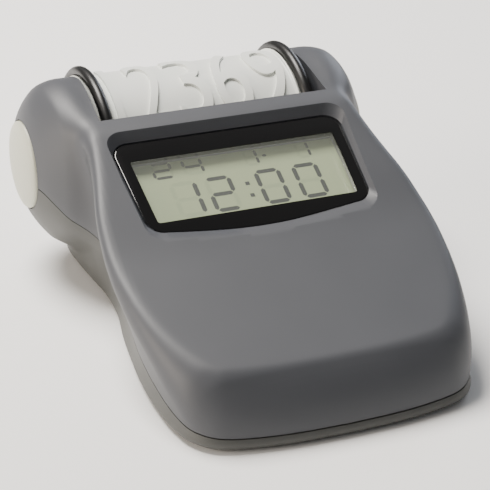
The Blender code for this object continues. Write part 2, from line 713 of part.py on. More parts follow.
def build_encoder():
    """A notched wheel on the axle, its sensor and its click spring."""
    teeth = 12
    outline = []
    for k in range(teeth):
        for step, radius in ((0.0, 9.0), (0.5, 9.0), (0.55, 7.6), (0.95, 7.6)):
            angle = math.tau * (k + step) / teeth
            outline.append((radius * math.cos(angle), radius * math.sin(angle)))
    wheel = slab("encoder_wheel", outline, WHEEL_X - 0.7, WHEEL_X + 0.7, PARTS,
                 material("encoder_wheel", BLACK, 0.5), frame=AXIS_FRAME @ SIDEWAYS)
    bore = rod("wheel_bore", (-42.0, 0.0, 0.0), (-37.0, 0.0, 0.0), AXLE_RADIUS + 0.1, CUTTERS,
               sides=16)
    boolean(wheel, bore)
    board = box("encoder_board", (-43.0, -11.8, -5.0), (-42.0, -5.5, 5.0), PARTS,
                material("encoder_board", BOARD_GREEN, 0.45))
    trim = rod("board_notch", (-50.0, 0.0, 0.0), (-40.0, 0.0, 0.0), 5.0, CUTTERS, sides=20)
    boolean(board, trim)
    sensor = box("encoder_sensor", (-41.9, -13.5, -3.0), (-36.4, -7.2, 3.0), PARTS,
                 material("encoder_sensor", BLACK, 0.4))
    slot = box("sensor_slot", (-40.1, -11.0, -4.0), (-37.9, -5.0, 4.0), CUTTERS)
    boolean(sensor, slot)
    path = [(-7.0, -13.6), (-4.0, -12.2), (-1.2, -10.2), (0.0, -9.5), (1.2, -10.2),
            (4.0, -12.2), (8.0, -13.4)]
    inner = [(y, z - 0.35) for y, z in path[::-1]]
    slab("click_spring", path + inner, WHEEL_X - 1.4, WHEEL_X + 1.4, PARTS,
         material("click_spring", STEEL, 0.3, 1.0), frame=AXIS_FRAME @ SIDEWAYS)


# ---- display ------------------------------------------------------------
def build_display():
    slab("window_lens", lens_outline(), -LENS_THICK, 0.0, PARTS,
         material("window_lens", (0.06, 0.055, 0.05), 0.08), frame=LENS_FRAME)
    box("display_glass", (-30.6, -13.4, -6.1), (30.6, 11.4, -3.9), PARTS,
        material("display_glass", (0.66, 0.70, 0.61), 0.2), frame=LENS_FRAME)
    holder = box("display_frame", (-32.8, -15.4, -9.0), (32.8, 12.6, -3.9), PARTS,
                 material("display_frame", (0.88, 0.88, 0.86), 0.5), frame=LENS_FRAME)
    inside = box("display_frame_inside", (-30.9, -13.7, -12.0), (30.9, 11.7, 0.0), CUTTERS,
                 frame=LENS_FRAME)
    boolean(holder, inside)
    for name, low, high in (("contact_strip_front", -13.0, -10.6),
                            ("contact_strip_rear", 8.9, 11.3)):
        box(name, (-29.5, low, -9.5), (29.5, high, -6.4), PARTS,
            material(name, (0.75, 0.45, 0.45), 0.6), frame=LENS_FRAME)
    box("main_board", (-33.5, -19.0, -11.4), (33.5, 11.3, -9.8), PARTS,
        material("main_board", BOARD_GREEN, 0.4), frame=LENS_FRAME)
    blob = [(-11.7, 0.0), (-11.7, 6.0), (-12.6, 5.4), (-13.3, 3.6), (-13.6, 0.0)]
    solid_of_revolution("driver_chip", [(-a, r) for a, r in blob][::-1], 16, PARTS,
                        material("driver_chip", BLACK, 0.3),
                        frame=LENS_FRAME @ UPRIGHT)
    rod("quartz_crystal", (13.0, -3.0, -13.3), (19.0, -3.0, -13.3), 1.2, PARTS,
        material("quartz_crystal", STEEL, 0.25, 1.0), sides=12, frame=LENS_FRAME)
    for k, (x, y) in enumerate(((-31.9, -17.2), (31.9, -17.2))):
        head = [(12.9, 0.0), (12.9, 1.0), (11.7, 1.5), (11.7, 0.0)]
        frame = LENS_FRAME @ Matrix.Translation((x * MM, y * MM, 0.0))
        solid_of_revolution("board_screw_%d" % (k + 1), head, 12, PARTS,
                            material("board_screw_%d" % (k + 1), STEEL, 0.3, 1.0),
                            frame=frame @ UPRIGHT)


def under_board(x, along):
    """A lead's end just under the main board, about the axis."""
    y, z = LENS_CENTRE
    depth = 11.4 + 0.9
    return (x, y + along * math.cos(LENS_TILT) + depth * math.sin(LENS_TILT),
            z + along * math.sin(LENS_TILT) - depth * math.cos(LENS_TILT))


# ---- side buttons -------------------------------------------------------
def build_buttons():
    for side, word in ((-1.0, "left"), (1.0, "right")):
        frame = wall_frame(side)
        cap = oval_prism("side_button_" + word, BUTTON_LONG, BUTTON_SHORT, -3.4,
                         BUTTON_PROUD, frame, PARTS,
                         material("side_button_" + word, CASE_GREY, 0.5))
        flange = oval_prism("button_flange_" + word, BUTTON_LONG + 1.0, BUTTON_SHORT + 1.0,
                            -4.2, -3.3, frame, CUTTERS)
        boolean(cap, flange, "UNION")
        box("switch_" + word, (-7.9, -3.0, -3.0), (-5.0, 3.0, 3.0), PARTS,
            material("switch_" + word, BLACK, 0.4), frame=frame)
        box("switch_board_" + word, (-9.2, -6.0, -4.0), (-8.2, 6.0, 4.0), PARTS,
            material("switch_board_" + word, BOARD_GREEN, 0.4), frame=frame)


# ---- batteries ----------------------------------------------------------
def build_battery():
    box("battery_door", (-DOOR_HALF, DOOR_FRONT, CASE_BOTTOM),
        (DOOR_HALF, DOOR_BACK, CASE_BOTTOM + DOOR_THICK), PARTS,
        material("battery_door", CASE_GREY, 0.5))
    for k, y in enumerate(CELL_Y):
        flip = 1.0 if k == 0 else -1.0
        half = CELL_LENGTH / 2
        profile = [(half + 1.0, 0.0), (half + 1.0, 1.9), (half, 1.9), (half, CELL_RADIUS),
                   (-half, CELL_RADIUS), (-half, 0.0)]
        profile = [(flip * a, r) for a, r in profile]
        frame = AXIS_FRAME @ Matrix.Translation((0.0, y * MM, CELL_Z * MM))
        solid_of_revolution("cell_%d" % (k + 1), profile, 20, PARTS,
                            material("cell_%d" % (k + 1), (0.55, 0.5, 0.3), 0.3, 0.6),
                            frame=frame)
        coil_x = -flip * (half + 0.4)
        end_x = -flip * 24.5
        turns = 3
        count = 8 * turns
        points = []
        for step in range(count + 1):
            t = step / count
            angle = math.tau * turns * t
            radius = 1.6 + 1.9 * t
            points.append((coil_x + (end_x - coil_x) * t,
                           y + radius * math.cos(angle), CELL_Z + radius * math.sin(angle)))
        wire("cell_spring_%d" % (k + 1), points, 0.28, PARTS,
             material("cell_spring_%d" % (k + 1), STEEL, 0.25, 1.0))
    box("bridge_contact", (-25.5, CELL_Y[1] - 4.4, -28.0), (-25.1, CELL_Y[0] + 4.4, -19.6),
        PARTS, material("bridge_contact", STEEL, 0.25, 1.0))
    for name, y in (("plus_contact", CELL_Y[0]), ("minus_contact", CELL_Y[1])):
        box(name, (25.1, y - 4.4, -28.0), (25.5, y + 4.4, -19.6), PARTS,
            material(name, STEEL, 0.25, 1.0))


# ---- sounder, leads, screws and feet -----------------------------------
def build_rest():
    profile = [(0.0, 0.0), (0.0, 8.0), (3.6, 8.0), (3.6, 1.4), (3.0, 1.4), (3.0, 0.0)]
    frame = AXIS_FRAME @ Matrix.Translation((0.0, -0.042, (CASE_BOTTOM + WALL + GAP) * MM))
    solid_of_revolution("sounder", [(-a, r) for a, r in profile], 24, PARTS,
                        material("sounder", BLACK, 0.45),
                        frame=frame @ UPRIGHT)
    red, black = (0.6, 0.08, 0.06), (0.05, 0.05, 0.05)
    leads = {
        "battery_lead_red": ((25.0, -66.4, -18.8), (24.8, -65.0, -15.4), (23.0, -60.0, -13.4),
                             (21.0, -54.5, -12.6), (20.5, -50.5, -10.6), under_board(20.5, -13.0)),
        "battery_lead_black": ((25.0, -77.6, -18.8), (24.6, -75.0, -15.8), (22.0, -64.0, -14.0),
                               (18.0, -56.0, -13.2), (17.0, -51.0, -11.0),
                               under_board(17.0, -13.0)),
        "sounder_lead_red": ((3.0, -42.0, -24.8), (3.4, -43.0, -18.0), (3.2, -45.0, -11.0),
                             under_board(3.0, -8.0)),
        "sounder_lead_black": ((-3.0, -42.0, -24.8), (-3.4, -43.0, -18.0), (-3.2, -45.0, -11.0),
                               under_board(-3.0, -8.0)),
    }
    for name, route in leads.items():
        colour = red if name.endswith("red") else black
        wire(name, smooth_line(route, 2).tolist(), 0.5, PARTS, material(name, colour, 0.5))
    number = 0
    for x, y in SCREW_PLACES:
        for side in (-1.0, 1.0):
            number += 1
            top = head_top(y)
            seam = seam_height(y)
            profile = [(top - 1.6, 0.0), (top - 1.6, 1.8), (top - 1.0, 2.5), (top, 2.5),
                       (top, 1.15), (seam + 6.4, 1.15), (seam + 7.0, 0.6), (seam + 7.0, 0.0)]
            frame = AXIS_FRAME @ Matrix.Translation((side * x * MM, y * MM, 0.0))
            name = "case_screw_%d" % number
            solid_of_revolution(name, [(-a, r) for a, r in profile], 12, PARTS,
                                material(name, STEEL, 0.35, 1.0),
                                frame=frame @ UPRIGHT)
    number = 0
    for x, y in FOOT_PLACES:
        for side in (-1.0, 1.0):
            number += 1
            rod("foot_%d" % number, (side * x, y, FLOOR), (side * x, y, CASE_BOTTOM + 0.3), 4.0,
                PARTS, material("foot_%d" % number, BLACK, 0.7), sides=20)


build_casing()
build_roller()
build_display()
build_buttons()
build_battery()
build_rest()
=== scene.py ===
"""Looks for the roller alarm clock: fine meshes, materials, camera and light.

Sizes are in millimetres about the roller's axis and are turned to metres
when a mesh is made. Every finished mesh holds its points in the world.
"""

import json
import math

import bmesh
import bpy
import numpy as np
from mathutils import Matrix, Vector

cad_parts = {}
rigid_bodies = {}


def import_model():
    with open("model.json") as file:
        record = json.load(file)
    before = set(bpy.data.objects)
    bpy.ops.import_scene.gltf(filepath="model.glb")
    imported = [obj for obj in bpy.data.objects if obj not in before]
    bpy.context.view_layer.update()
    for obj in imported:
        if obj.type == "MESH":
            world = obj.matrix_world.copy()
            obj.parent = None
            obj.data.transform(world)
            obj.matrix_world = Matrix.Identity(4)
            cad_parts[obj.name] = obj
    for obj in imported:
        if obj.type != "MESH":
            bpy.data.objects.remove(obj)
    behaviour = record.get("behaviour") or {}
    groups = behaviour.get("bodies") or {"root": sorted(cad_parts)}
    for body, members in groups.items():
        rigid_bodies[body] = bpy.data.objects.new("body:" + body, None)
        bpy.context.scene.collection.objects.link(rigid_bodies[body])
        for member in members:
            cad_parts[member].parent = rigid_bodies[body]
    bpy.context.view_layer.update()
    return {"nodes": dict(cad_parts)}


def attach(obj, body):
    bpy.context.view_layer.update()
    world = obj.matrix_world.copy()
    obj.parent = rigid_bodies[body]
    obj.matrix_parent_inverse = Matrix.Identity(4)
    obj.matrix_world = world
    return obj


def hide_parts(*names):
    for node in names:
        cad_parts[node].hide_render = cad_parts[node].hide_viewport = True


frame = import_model()

MM = 0.001
GAP = 0.3                      # clearance between neighbouring pieces
BEYOND = 60.0                  # past the casing at the sides, behind, above and below

# ---- sizes in millimetres, about the roller's axis ----------------------
AXIS_Y = 43.43                 # the axis in the world
AXIS_Z = 32.0
FLOOR = -AXIS_Z                # the table
CASE_BOTTOM = FLOOR + 0.8
BELOW = -40.0                  # under the table, where cutters start
WALL = 2.0
SKIN_INSET = 0.02              # the fine skin lies this much inside the form
FINE_SKIN = (64, 112, 44)      # faces across, along and up
COARSE_SKIN = (16, 30, 12)

BARREL_RADIUS = 21.9           # rear barrel of the casing
BARREL_FLAT = 33.0             # half length of its straight part
BARREL_DOME = 16.5             # length of each domed end
BARREL_POWER = 2.2             # squareness of the domed ends
BARREL_BLEND = 7.0             # softness of the join between barrel and toe
NECK_BLEND = 9.0               # extra softness at the neck on each side
NECK_START = 34.0              # where that softness begins, across
NECK_RUN = 8.0
NECK_FILL = 3.4                # the neck is this much fuller half way up
NECK_SPOT = (-23.0, -9.0)      # y, z of its fullest place
NECK_REACH = (9.0, 10.0)
FLARE_POWER = 1.6              # the walls stand upright below and lean out near the top
FLARE_LIMIT = 1.3              # share of the height past which they lean no more
TOP_LEAN = 0.92                # cosine of the top's mean slope
BOTTOM_FILLET = 2.4

DRUM_RADIUS = 22.7             # rims of the roller
FIELD_RADIUS = 21.9            # drum surface between the rims
FIELD_HALF = 26.3
DRUM_HALF = 30.8
DRUM_BORE = 19.6               # inside the drum's shell
HUB_RADIUS = 4.2
HUB_BORE = 1.7
HUB_HALF = 29.8
WEB_HALF = 1.2                 # half thickness of the web between hub and shell
RIM_EASE = 0.2                 # rounding of the groove's lips
RING_X = 29.0
RING_RADIUS = 23.06            # centre line of the rubber rings
RING_WIRE = 1.61
RING_ROOM = 0.25               # the groove is this much wider than the wire

NUMERALS = (("12", -17.6, 15.6), ("3", -2.6, 9.6), ("6", 9.2, 9.6), ("9", 20.9, 9.6))
NUMERAL_TURNS = (18.0, 138.0, 258.0)
NUMERAL_HEIGHT = 27.0
NUMERAL_RISE = 0.75            # above the drum's field
NUMERAL_ROOT = 0.25            # sunk into it
NUMERAL_STEPS = 28             # slices that let a figure bend round the drum

BAY_RADIUS = 26.0              # space the roller turns in
BAY_WALL = 1.6
BAY_HALF_BACK = 31.4
BAY_HALF_FRONT = 32.7
BAY_FRONT = -20.6              # front edge of the roller's opening
BAY_LIP = 0.25                 # the opening is this much wider than the bay
CAP_RADIUS = 12.0
CAP_SEAT = 46.4
CAP_TOP = 49.8
CAP_RIM = 1.2                  # the cap's dome starts this high above its seat
CAP_DOME = 0.8                 # below 1 the dome is flatter on top

LENS_TILT = math.radians(25.0)
LENS_CENTRE = (-43.0, 7.75)    # y, z of the lens's outer face
LENS_HALF = 31.7               # half width at the middle; it widens to the back
LENS_TAPER = 0.05
LENS_REAR = 16.7
LENS_FRONT = 13.7              # at the corners; the front edge bows past it
LENS_BOW = 2.6
LENS_CORNER = 4.6
LENS_THICK = 1.6
RECESS_HEIGHT = 9.0
RECESS_SIDE = 0.55             # the recess opens this much for each mm of height
RECESS_REAR = 1.05
RECESS_TOE = 2.2
WINDOW_HALF = 28.4
WINDOW_REAR = 10.6
WINDOW_FRONT = 10.7
PANE_BACK = -0.6
PANE_FRONT = -0.02

LCD_DEPTH = 3.0                # of the panel's face below the lens's
LCD_BACK = -6.1
LCD_HALF = 30.6
LCD_FRONT = -13.4
LCD_REAR = 12.4
LCD_SHIFT = (1.37, 2.18 - WINDOW_FRONT)
BIG_DIGIT = (6.3, 10.6, 1.25)  # width, height and stroke
SMALL_DIGIT = (4.9, 4.8, 0.85)
SMALL_ONE = (3.2, 4.9, 0.8)
DASH = (1.7, 4.9, 0.8)
# what the panel shows: figure, left edge and foot in the window, size
FIGURES = (
    ("1", -20.9, 1.1, BIG_DIGIT), ("2", -11.2, 1.1, BIG_DIGIT),
    ("0", 2.9, 1.1, BIG_DIGIT), ("0", 13.7, 1.1, BIG_DIGIT),
    ("2", -24.0, 14.5, SMALL_DIGIT), ("4", -15.4, 14.5, SMALL_DIGIT),
    ("1", 2.0, 14.5, SMALL_ONE), ("-", 6.6, 14.5, DASH), ("1", 17.0, 14.5, SMALL_ONE),
)
COLON_X = -0.4
COLON_HEIGHTS = (4.4, 8.5)
COLON_HALF = 0.6
# which of the seven bars each figure lights
SEGMENTS = {"0": "abcdef", "1": "bc", "2": "abged", "4": "fgbc", "8": "abcdefg", "-": "g"}

BUTTON_CENTRE = (-43.2, -14.6)
BUTTON_TILT = math.radians(34.0)
BUTTON_LONG = 8.2              # half axes of its oval
BUTTON_SHORT = 2.7
BUTTON_PROUD = 0.7
BUTTON_REAR = -3.4
BUTTON_HOLE = 6.0              # half depth of the cutter

DOOR_FRONT = -86.5
DOOR_BACK = -58.5
DOOR_HALF = 24.6
FOOT_PLACES = ((33.0, -80.0), (25.0, 5.0))
FOOT_POCKET = (4.3, 0.6)       # radius and depth
SCREW_PLACES = ((29.0, -94.0), (28.0, -30.6))
SCREW_POST = 3.6
SCREW_HEAD = 2.9               # radius of the hole for a screw's head
HEAD_DEPTH = 2.7               # of the front holes; the rear ones stop below the seam
HEAD_UNDER_SEAM = 7.7
CELL_RIB = (26.6, 0.7)         # place and half thickness of the walls beside the cells

# half of the underside's outline, from the middle of the back to the nose
OUTLINE = (
    (0.0, 14.5), (20.0, 14.4), (30.5, 12.0), (34.5, 5.0), (34.8, -5.0), (34.2, -15.0),
    (33.6, -26.0), (34.6, -38.0), (37.2, -50.0), (39.1, -62.0), (40.6, -74.0),
    (41.1, -85.0), (40.6, -95.0), (38.3, -103.0), (32.0, -109.0), (17.0, -112.2),
    (0.0, -113.0),
)
# outward slope of the side walls, from the nose to the back
DRAFT_LINE = (
    (-130.0, 0.12), (-100.0, 0.19), (-87.0, 0.23), (-75.0, 0.27), (-63.0, 0.30),
    (-56.0, 0.29), (-48.0, 0.27), (-38.0, 0.23), (-28.0, 0.17), (-18.0, 0.10), (0.0, 0.05),
    (20.0, 0.05),
)
# height of the top along the middle
TOP_LINE = (
    (-130.0, -21.0), (-112.0, -16.6), (-100.0, -12.9), (-86.0, -8.3), (-72.0, -3.3),
    (-60.0, 1.4), (-46.0, 8.2), (-34.0, 14.2), (-29.0, 16.7), (-25.5, 18.2), (-21.0, 19.0),
    (-10.0, 20.0), (0.0, 19.0), (9.0, 14.0), (16.0, 4.0), (24.0, -14.0),
)
# roundness of the upper edge
FILLET_LINE = (
    (-130.0, 17.0), (-108.0, 16.5), (-102.0, 13.0), (-96.0, 10.0), (-84.0, 6.5), (-70.0, 5.0),
    (-56.0, 4.0), (-40.0, 4.0), (20.0, 5.0),
)
# height of the parting line between the two case halves
SEAM_LINE = (
    (-130.0, -28.9), (-112.0, -28.6), (-102.0, -27.4), (-90.0, -25.2), (-74.0, -22.4),
    (-60.0, -20.2), (-50.0, -18.2), (-42.0, -16.4), (-34.0, -14.2), (-28.0, -12.0),
    (-22.0, -7.4), (-16.0, -3.2), (-11.5, -2.0), (-6.5, -4.0), (0.0, -4.4), (40.0, -4.4),
)
# how much further out the foot of the lower case is than its rim
SKIRT_LINE = (
    (-130.0, 1.5), (-76.0, 1.5), (-60.0, 2.2), (-45.0, 2.9), (-32.0, 2.6), (-22.0, 1.2),
    (-12.0, 0.0), (20.0, 0.0),
)


# ---- materials ----------------------------------------------------------
def linear(hex_colour):
    """sRGB hex to linear RGBA."""
    values = [int(hex_colour[k:k + 2], 16) / 255.0 for k in (1, 3, 5)]
    turned = [v / 12.92 if v <= 0.04045 else ((v + 0.055) / 1.055) ** 2.4 for v in values]
    return (*turned, 1.0)


def add(tree, kind, values=None, links=None, **settings):
    """One node with its settings, its values and the sockets linked into it."""
    node = tree.nodes.new(kind)
    for name, value in settings.items():
        setattr(node, name, value)
    for name, value in (values or {}).items():
        node.inputs[name].default_value = value
    for name, socket in (links or {}).items():
        tree.links.new(socket, node.inputs[name])
    return node


def per_metre(size_mm):
    """The texture scale that gives a pattern of this size."""
    return 1.0 / (size_mm * MM)


def new_material(name):
    """An empty Principled material: it, its tree, its shader and its coordinates."""
    made = bpy.data.materials.new(name)
    made.use_nodes = True
    tree = made.node_tree
    tree.nodes.clear()
    shader = add(tree, "ShaderNodeBsdfPrincipled")
    add(tree, "ShaderNodeOutputMaterial", links={"Surface": shader.outputs[0]})
    where = add(tree, "ShaderNodeTexCoord").outputs["Object"]
    return made, tree, shader, where


def surface(name, colour, roughness, grain_mm=0.4, grain_height=0.004, tone=0.04,
            tone_mm=14.0, uneven=0.05, **fixed):
    """A plain finish. Over tone_mm its colour drifts by the share tone and its
    roughness by uneven. A grain grain_mm wide and grain_height mm high is on it."""
    made, tree, shader, where = new_material(name)
    base = linear(colour)
    drift = add(tree, "ShaderNodeTexNoise", {"Scale": per_metre(tone_mm), "Detail": 3.0},
                {"Vector": where})
    dark = tuple(c * (1.0 - tone) for c in base[:3]) + (1.0,)
    light = tuple(min(1.0, c * (1.0 + tone)) for c in base[:3]) + (1.0,)
    mix = add(tree, "ShaderNodeMix", {6: dark, 7: light}, {0: drift.outputs["Fac"]},
              data_type="RGBA")
    tree.links.new(mix.outputs[2], shader.inputs["Base Color"])
    gloss = add(tree, "ShaderNodeMapRange",
                {"To Min": max(0.02, roughness - uneven), "To Max": roughness + uneven},
                {"Value": drift.outputs["Fac"]})
    tree.links.new(gloss.outputs[0], shader.inputs["Roughness"])
    grain = add(tree, "ShaderNodeTexNoise", {"Scale": per_metre(grain_mm), "Detail": 2.0},
                {"Vector": where})
    bump = add(tree, "ShaderNodeBump", {"Strength": 1.0, "Distance": grain_height * MM},
               {"Height": grain.outputs["Fac"]})
    tree.links.new(bump.outputs[0], shader.inputs["Normal"])
    for socket, value in fixed.items():
        shader.inputs[socket.replace("_", " ")].default_value = value
    return made


def banded(name, axis, size_mm, colours, roughness, **fixed):
    """A finish in even bands across one axis, such as layered rubber or a printed sleeve."""
    made, tree, shader, where = new_material(name)
    wave = add(tree, "ShaderNodeTexWave", {"Scale": per_metre(size_mm) / 20.0 * math.tau / 2.0},
               {"Vector": where}, bands_direction=axis, wave_profile="SIN")
    ramp = add(tree, "ShaderNodeValToRGB", links={"Fac": wave.outputs["Fac"]})
    ramp.color_ramp.interpolation = "CONSTANT"
    ramp.color_ramp.elements[0].color = linear(colours[0])
    ramp.color_ramp.elements[1].color = linear(colours[1])
    ramp.color_ramp.elements[1].position = 0.5
    tree.links.new(ramp.outputs[0], shader.inputs["Base Color"])
    shader.inputs["Roughness"].default_value = roughness
    for socket, value in fixed.items():
        shader.inputs[socket.replace("_", " ")].default_value = value
    return made


# ABS from a spark-textured mould: a broad, weak sheen over a very fine grain
CASE_TOP = surface("satin_grey_moulding", "#46484d", 0.50, 0.35, 0.010, 0.05, 16.0, 0.04)
CASE_LOW = surface("satin_grey_lower_moulding", "#4b4c4a", 0.52, 0.35, 0.010, 0.05, 16.0, 0.04)
BUTTON_GREY = surface("satin_grey_button", "#4a4b4d", 0.50, 0.35, 0.008, 0.04, 9.0, 0.04)
# pale ABS from a smoother mould: even, with a soft highlight
DRUM_WHITE = surface("satin_white_roller", "#e2e5e0", 0.42, 0.5, 0.004, 0.02, 20.0, 0.04)
CAP_WHITE = surface("satin_ivory_cap", "#bbbcab", 0.40, 0.5, 0.004, 0.03, 12.0, 0.04)
# moulded rubber: black, with a long streak of light round the ring
RING_RUBBER = surface("moulded_black_rubber", "#0a0a0a", 0.38, 0.25, 0.006, 0.15, 6.0, 0.08)
# matt rubber: black and dull
FOOT_RUBBER = surface("matt_black_rubber", "#1c1c1c", 0.75, 0.3, 0.010, 0.15, 4.0, 0.05)
# polished clear plastic, printed black: sharp reflections at low angles
BORDER_BLACK = surface("printed_black_lens", "#050404", 0.09, 2.0, 0.0004, 0.10, 12.0, 0.02,
                       Coat_Weight=0.6, Coat_Roughness=0.03, IOR=1.49)
# liquid-crystal glass: an even grey-green ground with dark bars and faint ones
LCD_GREEN = surface("liquid_crystal_ground", "#929e7c", 0.34, 0.25, 0.001, 0.03, 16.0, 0.05)
LCD_INK = surface("liquid_crystal_segment", "#12181a", 0.34, 0.3, 0.0004, 0.03, 5.0, 0.05)
LCD_GHOST = surface("liquid_crystal_idle_segment", "#8a9676", 0.34, 0.3, 0.0004, 0.03, 5.0, 0.05)
# plated steel: bright, and darker and duller on the screws
STEEL = surface("bright_plated_steel", "#c4c3be", 0.24, 0.5, 0.0010, 0.05, 3.0, 0.08,
                Metallic=1.0)
SCREW_STEEL = surface("dark_plated_steel", "#8c8b88", 0.34, 0.4, 0.0015, 0.08, 3.0, 0.08,
                      Metallic=1.0)
# plain mouldings and cast resin, for what is inside: even, the resin glossier. The black one is
# also painted shade on the display frame
WHITE_MOULDING = surface("plain_white_moulding", "#dfdfda", 0.50, 0.4, 0.005, 0.03, 8.0, 0.05)
BLACK_MOULDING_AND_SHADE = surface("black_moulding_and_painted_shade", "#171718", 0.45, 0.4, 0.005, 0.10, 6.0, 0.06)
RESIN = surface("cast_black_resin", "#0f0f10", 0.22, 1.5, 0.006, 0.10, 4.0, 0.06)
# circuit board under green lacquer: narrow bands of two close greens
BOARD = banded("green_circuit_board", "X", 2.4, ("#2c5d34", "#35703d"), 0.35)
# layered conductive rubber: fine light and dark stripes
ZEBRA = banded("layered_contact_rubber", "X", 0.36, ("#c07878", "#3a2222"), 0.6)
# printed sleeve of a dry cell: a dark part and a gold part, both with some shine
SLEEVE = banded("printed_cell_sleeve", "X", 28.0, ("#1f2a3a", "#b8893c"), 0.28, Metallic=0.6)
# wire insulation: smooth, with a small highlight
LEAD_RED = surface("red_wire_insulation", "#9c2018", 0.35, 0.4, 0.002, 0.06, 3.0, 0.05)
LEAD_BLACK = surface("black_wire_insulation", "#141414", 0.35, 0.4, 0.002, 0.06, 3.0, 0.05)


def clear_pane():
    """The unprinted part of the lens: nearly all of the light goes straight through."""
    made, tree, shader, where = new_material("clear_polished_lens")
    smear = add(tree, "ShaderNodeTexNoise", {"Scale": per_metre(9.0), "Detail": 2.0},
                {"Vector": where})
    gloss = add(tree, "ShaderNodeMapRange", {"To Min": 0.02, "To Max": 0.05},
                {"Value": smear.outputs["Fac"]})
    tree.links.new(gloss.outputs[0], shader.inputs["Roughness"])
    shader.inputs["Base Color"].default_value = linear("#e9efe6")
    shader.inputs["IOR"].default_value = 1.49
    shader.inputs["Alpha"].default_value = 0.05
    return made


CLEAR = clear_pane()


# ---- the casing's form, finer than the solid's --------------------------
def smooth_line(points, pieces=8):
    """A rounded line through points (Catmull-Rom), as an array."""
    spots = np.array(points, float)
    padded = np.vstack([2 * spots[0] - spots[1], spots, 2 * spots[-1] - spots[-2]])
    t = np.linspace(0.0, 1.0, pieces, endpoint=False)[:, None]
    rows = []
    for a, b, c, d in zip(padded, padded[1:], padded[2:], padded[3:]):
        rows.append(0.5 * (2 * b + (c - a) * t + (2 * a - 5 * b + 4 * c - d) * t ** 2
                           + (3 * b - a - 3 * c + d) * t ** 3))
    return np.vstack(rows + [spots[-1:]])


PLAN = smooth_line(OUTLINE)
SLOPE = smooth_line(DRAFT_LINE)
TOP = smooth_line(TOP_LINE)
SEAM = smooth_line(SEAM_LINE)
SKIRT = smooth_line(SKIRT_LINE)
FILLET = smooth_line(FILLET_LINE)


def along(line, y):
    """A line's value at each place along the casing."""
    return np.interp(y, line[:, 0], line[:, 1])


def plan_distance(x, y):
    """Signed distance from the underside's outline, negative inside."""
    near = np.full(x.shape, 1e9)
    inside = np.zeros(x.shape, bool)
    for (ax, ay), (bx, by) in zip(PLAN, PLAN[1:]):
        ex, ey = bx - ax, by - ay
        t = np.clip(((x - ax) * ex + (y - ay) * ey) / (ex * ex + ey * ey), 0.0, 1.0)
        near = np.minimum(near, np.hypot(x - ax - t * ex, y - ay - t * ey))
        crosses = (ay > y) != (by > y)
        at = ax + (y - ay) * ex / (ey if abs(ey) > 1e-9 else 1e-9)
        inside ^= crosses & (x < at)
    return np.where(inside, -near, near)


def rounded_join(a, b, radius):
    """Roughly the distance to what two forms share, its edge rounded."""
    over = np.hypot(np.maximum(a + radius, 0.0), np.maximum(b + radius, 0.0)) - radius
    return np.where((a > -radius) & (b > -radius), over, np.maximum(a, b))


def soft_union(a, b, width):
    """Roughly the distance to two forms together, the join between them filled."""
    mix = np.clip(0.5 + 0.5 * (b - a) / width, 0.0, 1.0)
    return b * (1.0 - mix) + a * mix - width * mix * (1.0 - mix)


def casing(points):
    """Roughly the distance of points about the axis from the outer skin."""
    x, y, z = np.abs(points[:, 0]), points[:, 1], points[:, 2]
    dome = (np.maximum(x - BARREL_FLAT, 0.0) / BARREL_DOME) ** BARREL_POWER
    round_ = (np.hypot(y, z) / BARREL_RADIUS) ** BARREL_POWER
    barrel = ((dome + round_) ** (1.0 / BARREL_POWER) - 1.0) * BARREL_RADIUS
    draft = along(SLOPE, y)
    skirt = along(SKIRT, y) * np.clip((z - CASE_BOTTOM) / (along(SEAM, y) - CASE_BOTTOM),
                                      0.0, 1.0)
    tall = along(TOP, y) - CASE_BOTTOM
    lean = draft * tall * np.clip((z - CASE_BOTTOM) / tall, 0.0, FLARE_LIMIT) ** FLARE_POWER
    wall = (plan_distance(x, y) + skirt - lean) / np.hypot(1.0, draft)
    bump = ((y - NECK_SPOT[0]) / NECK_REACH[0]) ** 2 + ((z - NECK_SPOT[1]) / NECK_REACH[1]) ** 2
    wall -= NECK_FILL * np.exp(-bump)
    roof = (z - along(TOP, y)) * TOP_LEAN
    edge = along(FILLET, y)
    body = rounded_join(wall, roof, edge)
    body = rounded_join(body, CASE_BOTTOM - z, BOTTOM_FILLET)
    width = BARREL_BLEND + NECK_BLEND * np.clip((x - NECK_START) / NECK_RUN, 0.0, 1.0)
    return soft_union(barrel, body, width)


# a line inside the casing, from which its skin is found
SPINE = np.array([[0.0, -88.0, -19.0], [0.0, -45.0, -9.0], [0.0, 0.0, 0.0]])
NOSE = -112.0                  # the rays aim between these places, front to back
BACK = 22.0
RIM_HALF = 43.0                # and their upper row aims along the casing's rim
RIM_DROP = 2.2
RIM_LEAST = 7.0
FARTHEST = 75.0                # no skin is farther from the spine than this
HALVINGS = 24


def place(x, y, z):
    """A point about the roller's axis, in metres in the world."""
    return Vector((x, y + AXIS_Y, z + AXIS_Z)) * MM


AXIS_FRAME = Matrix.Translation(place(0.0, 0.0, 0.0))
LENS_FRAME = (Matrix.Translation(place(0.0, *LENS_CENTRE))
              @ Matrix.Rotation(LENS_TILT, 4, "X"))
SIDEWAYS = Matrix(((0, 0, 1, 0), (1, 0, 0, 0), (0, 1, 0, 0), (0, 0, 0, 1)))
SCRATCH = bpy.data.collections.new("cutters")
bpy.context.scene.collection.children.link(SCRATCH)
SCENE = bpy.context.scene.collection


def new_object(name, bm, matrix, group=SCRATCH):
    """A mesh object at the origin, its points already in world metres."""
    bm.transform(matrix)
    bmesh.ops.recalc_face_normals(bm, faces=bm.faces)
    mesh = bpy.data.meshes.new(name)
    bm.to_mesh(mesh)
    bm.free()
    made = bpy.data.objects.new(name, mesh)
    group.objects.link(made)
    made.hide_render = group is SCRATCH
    return made


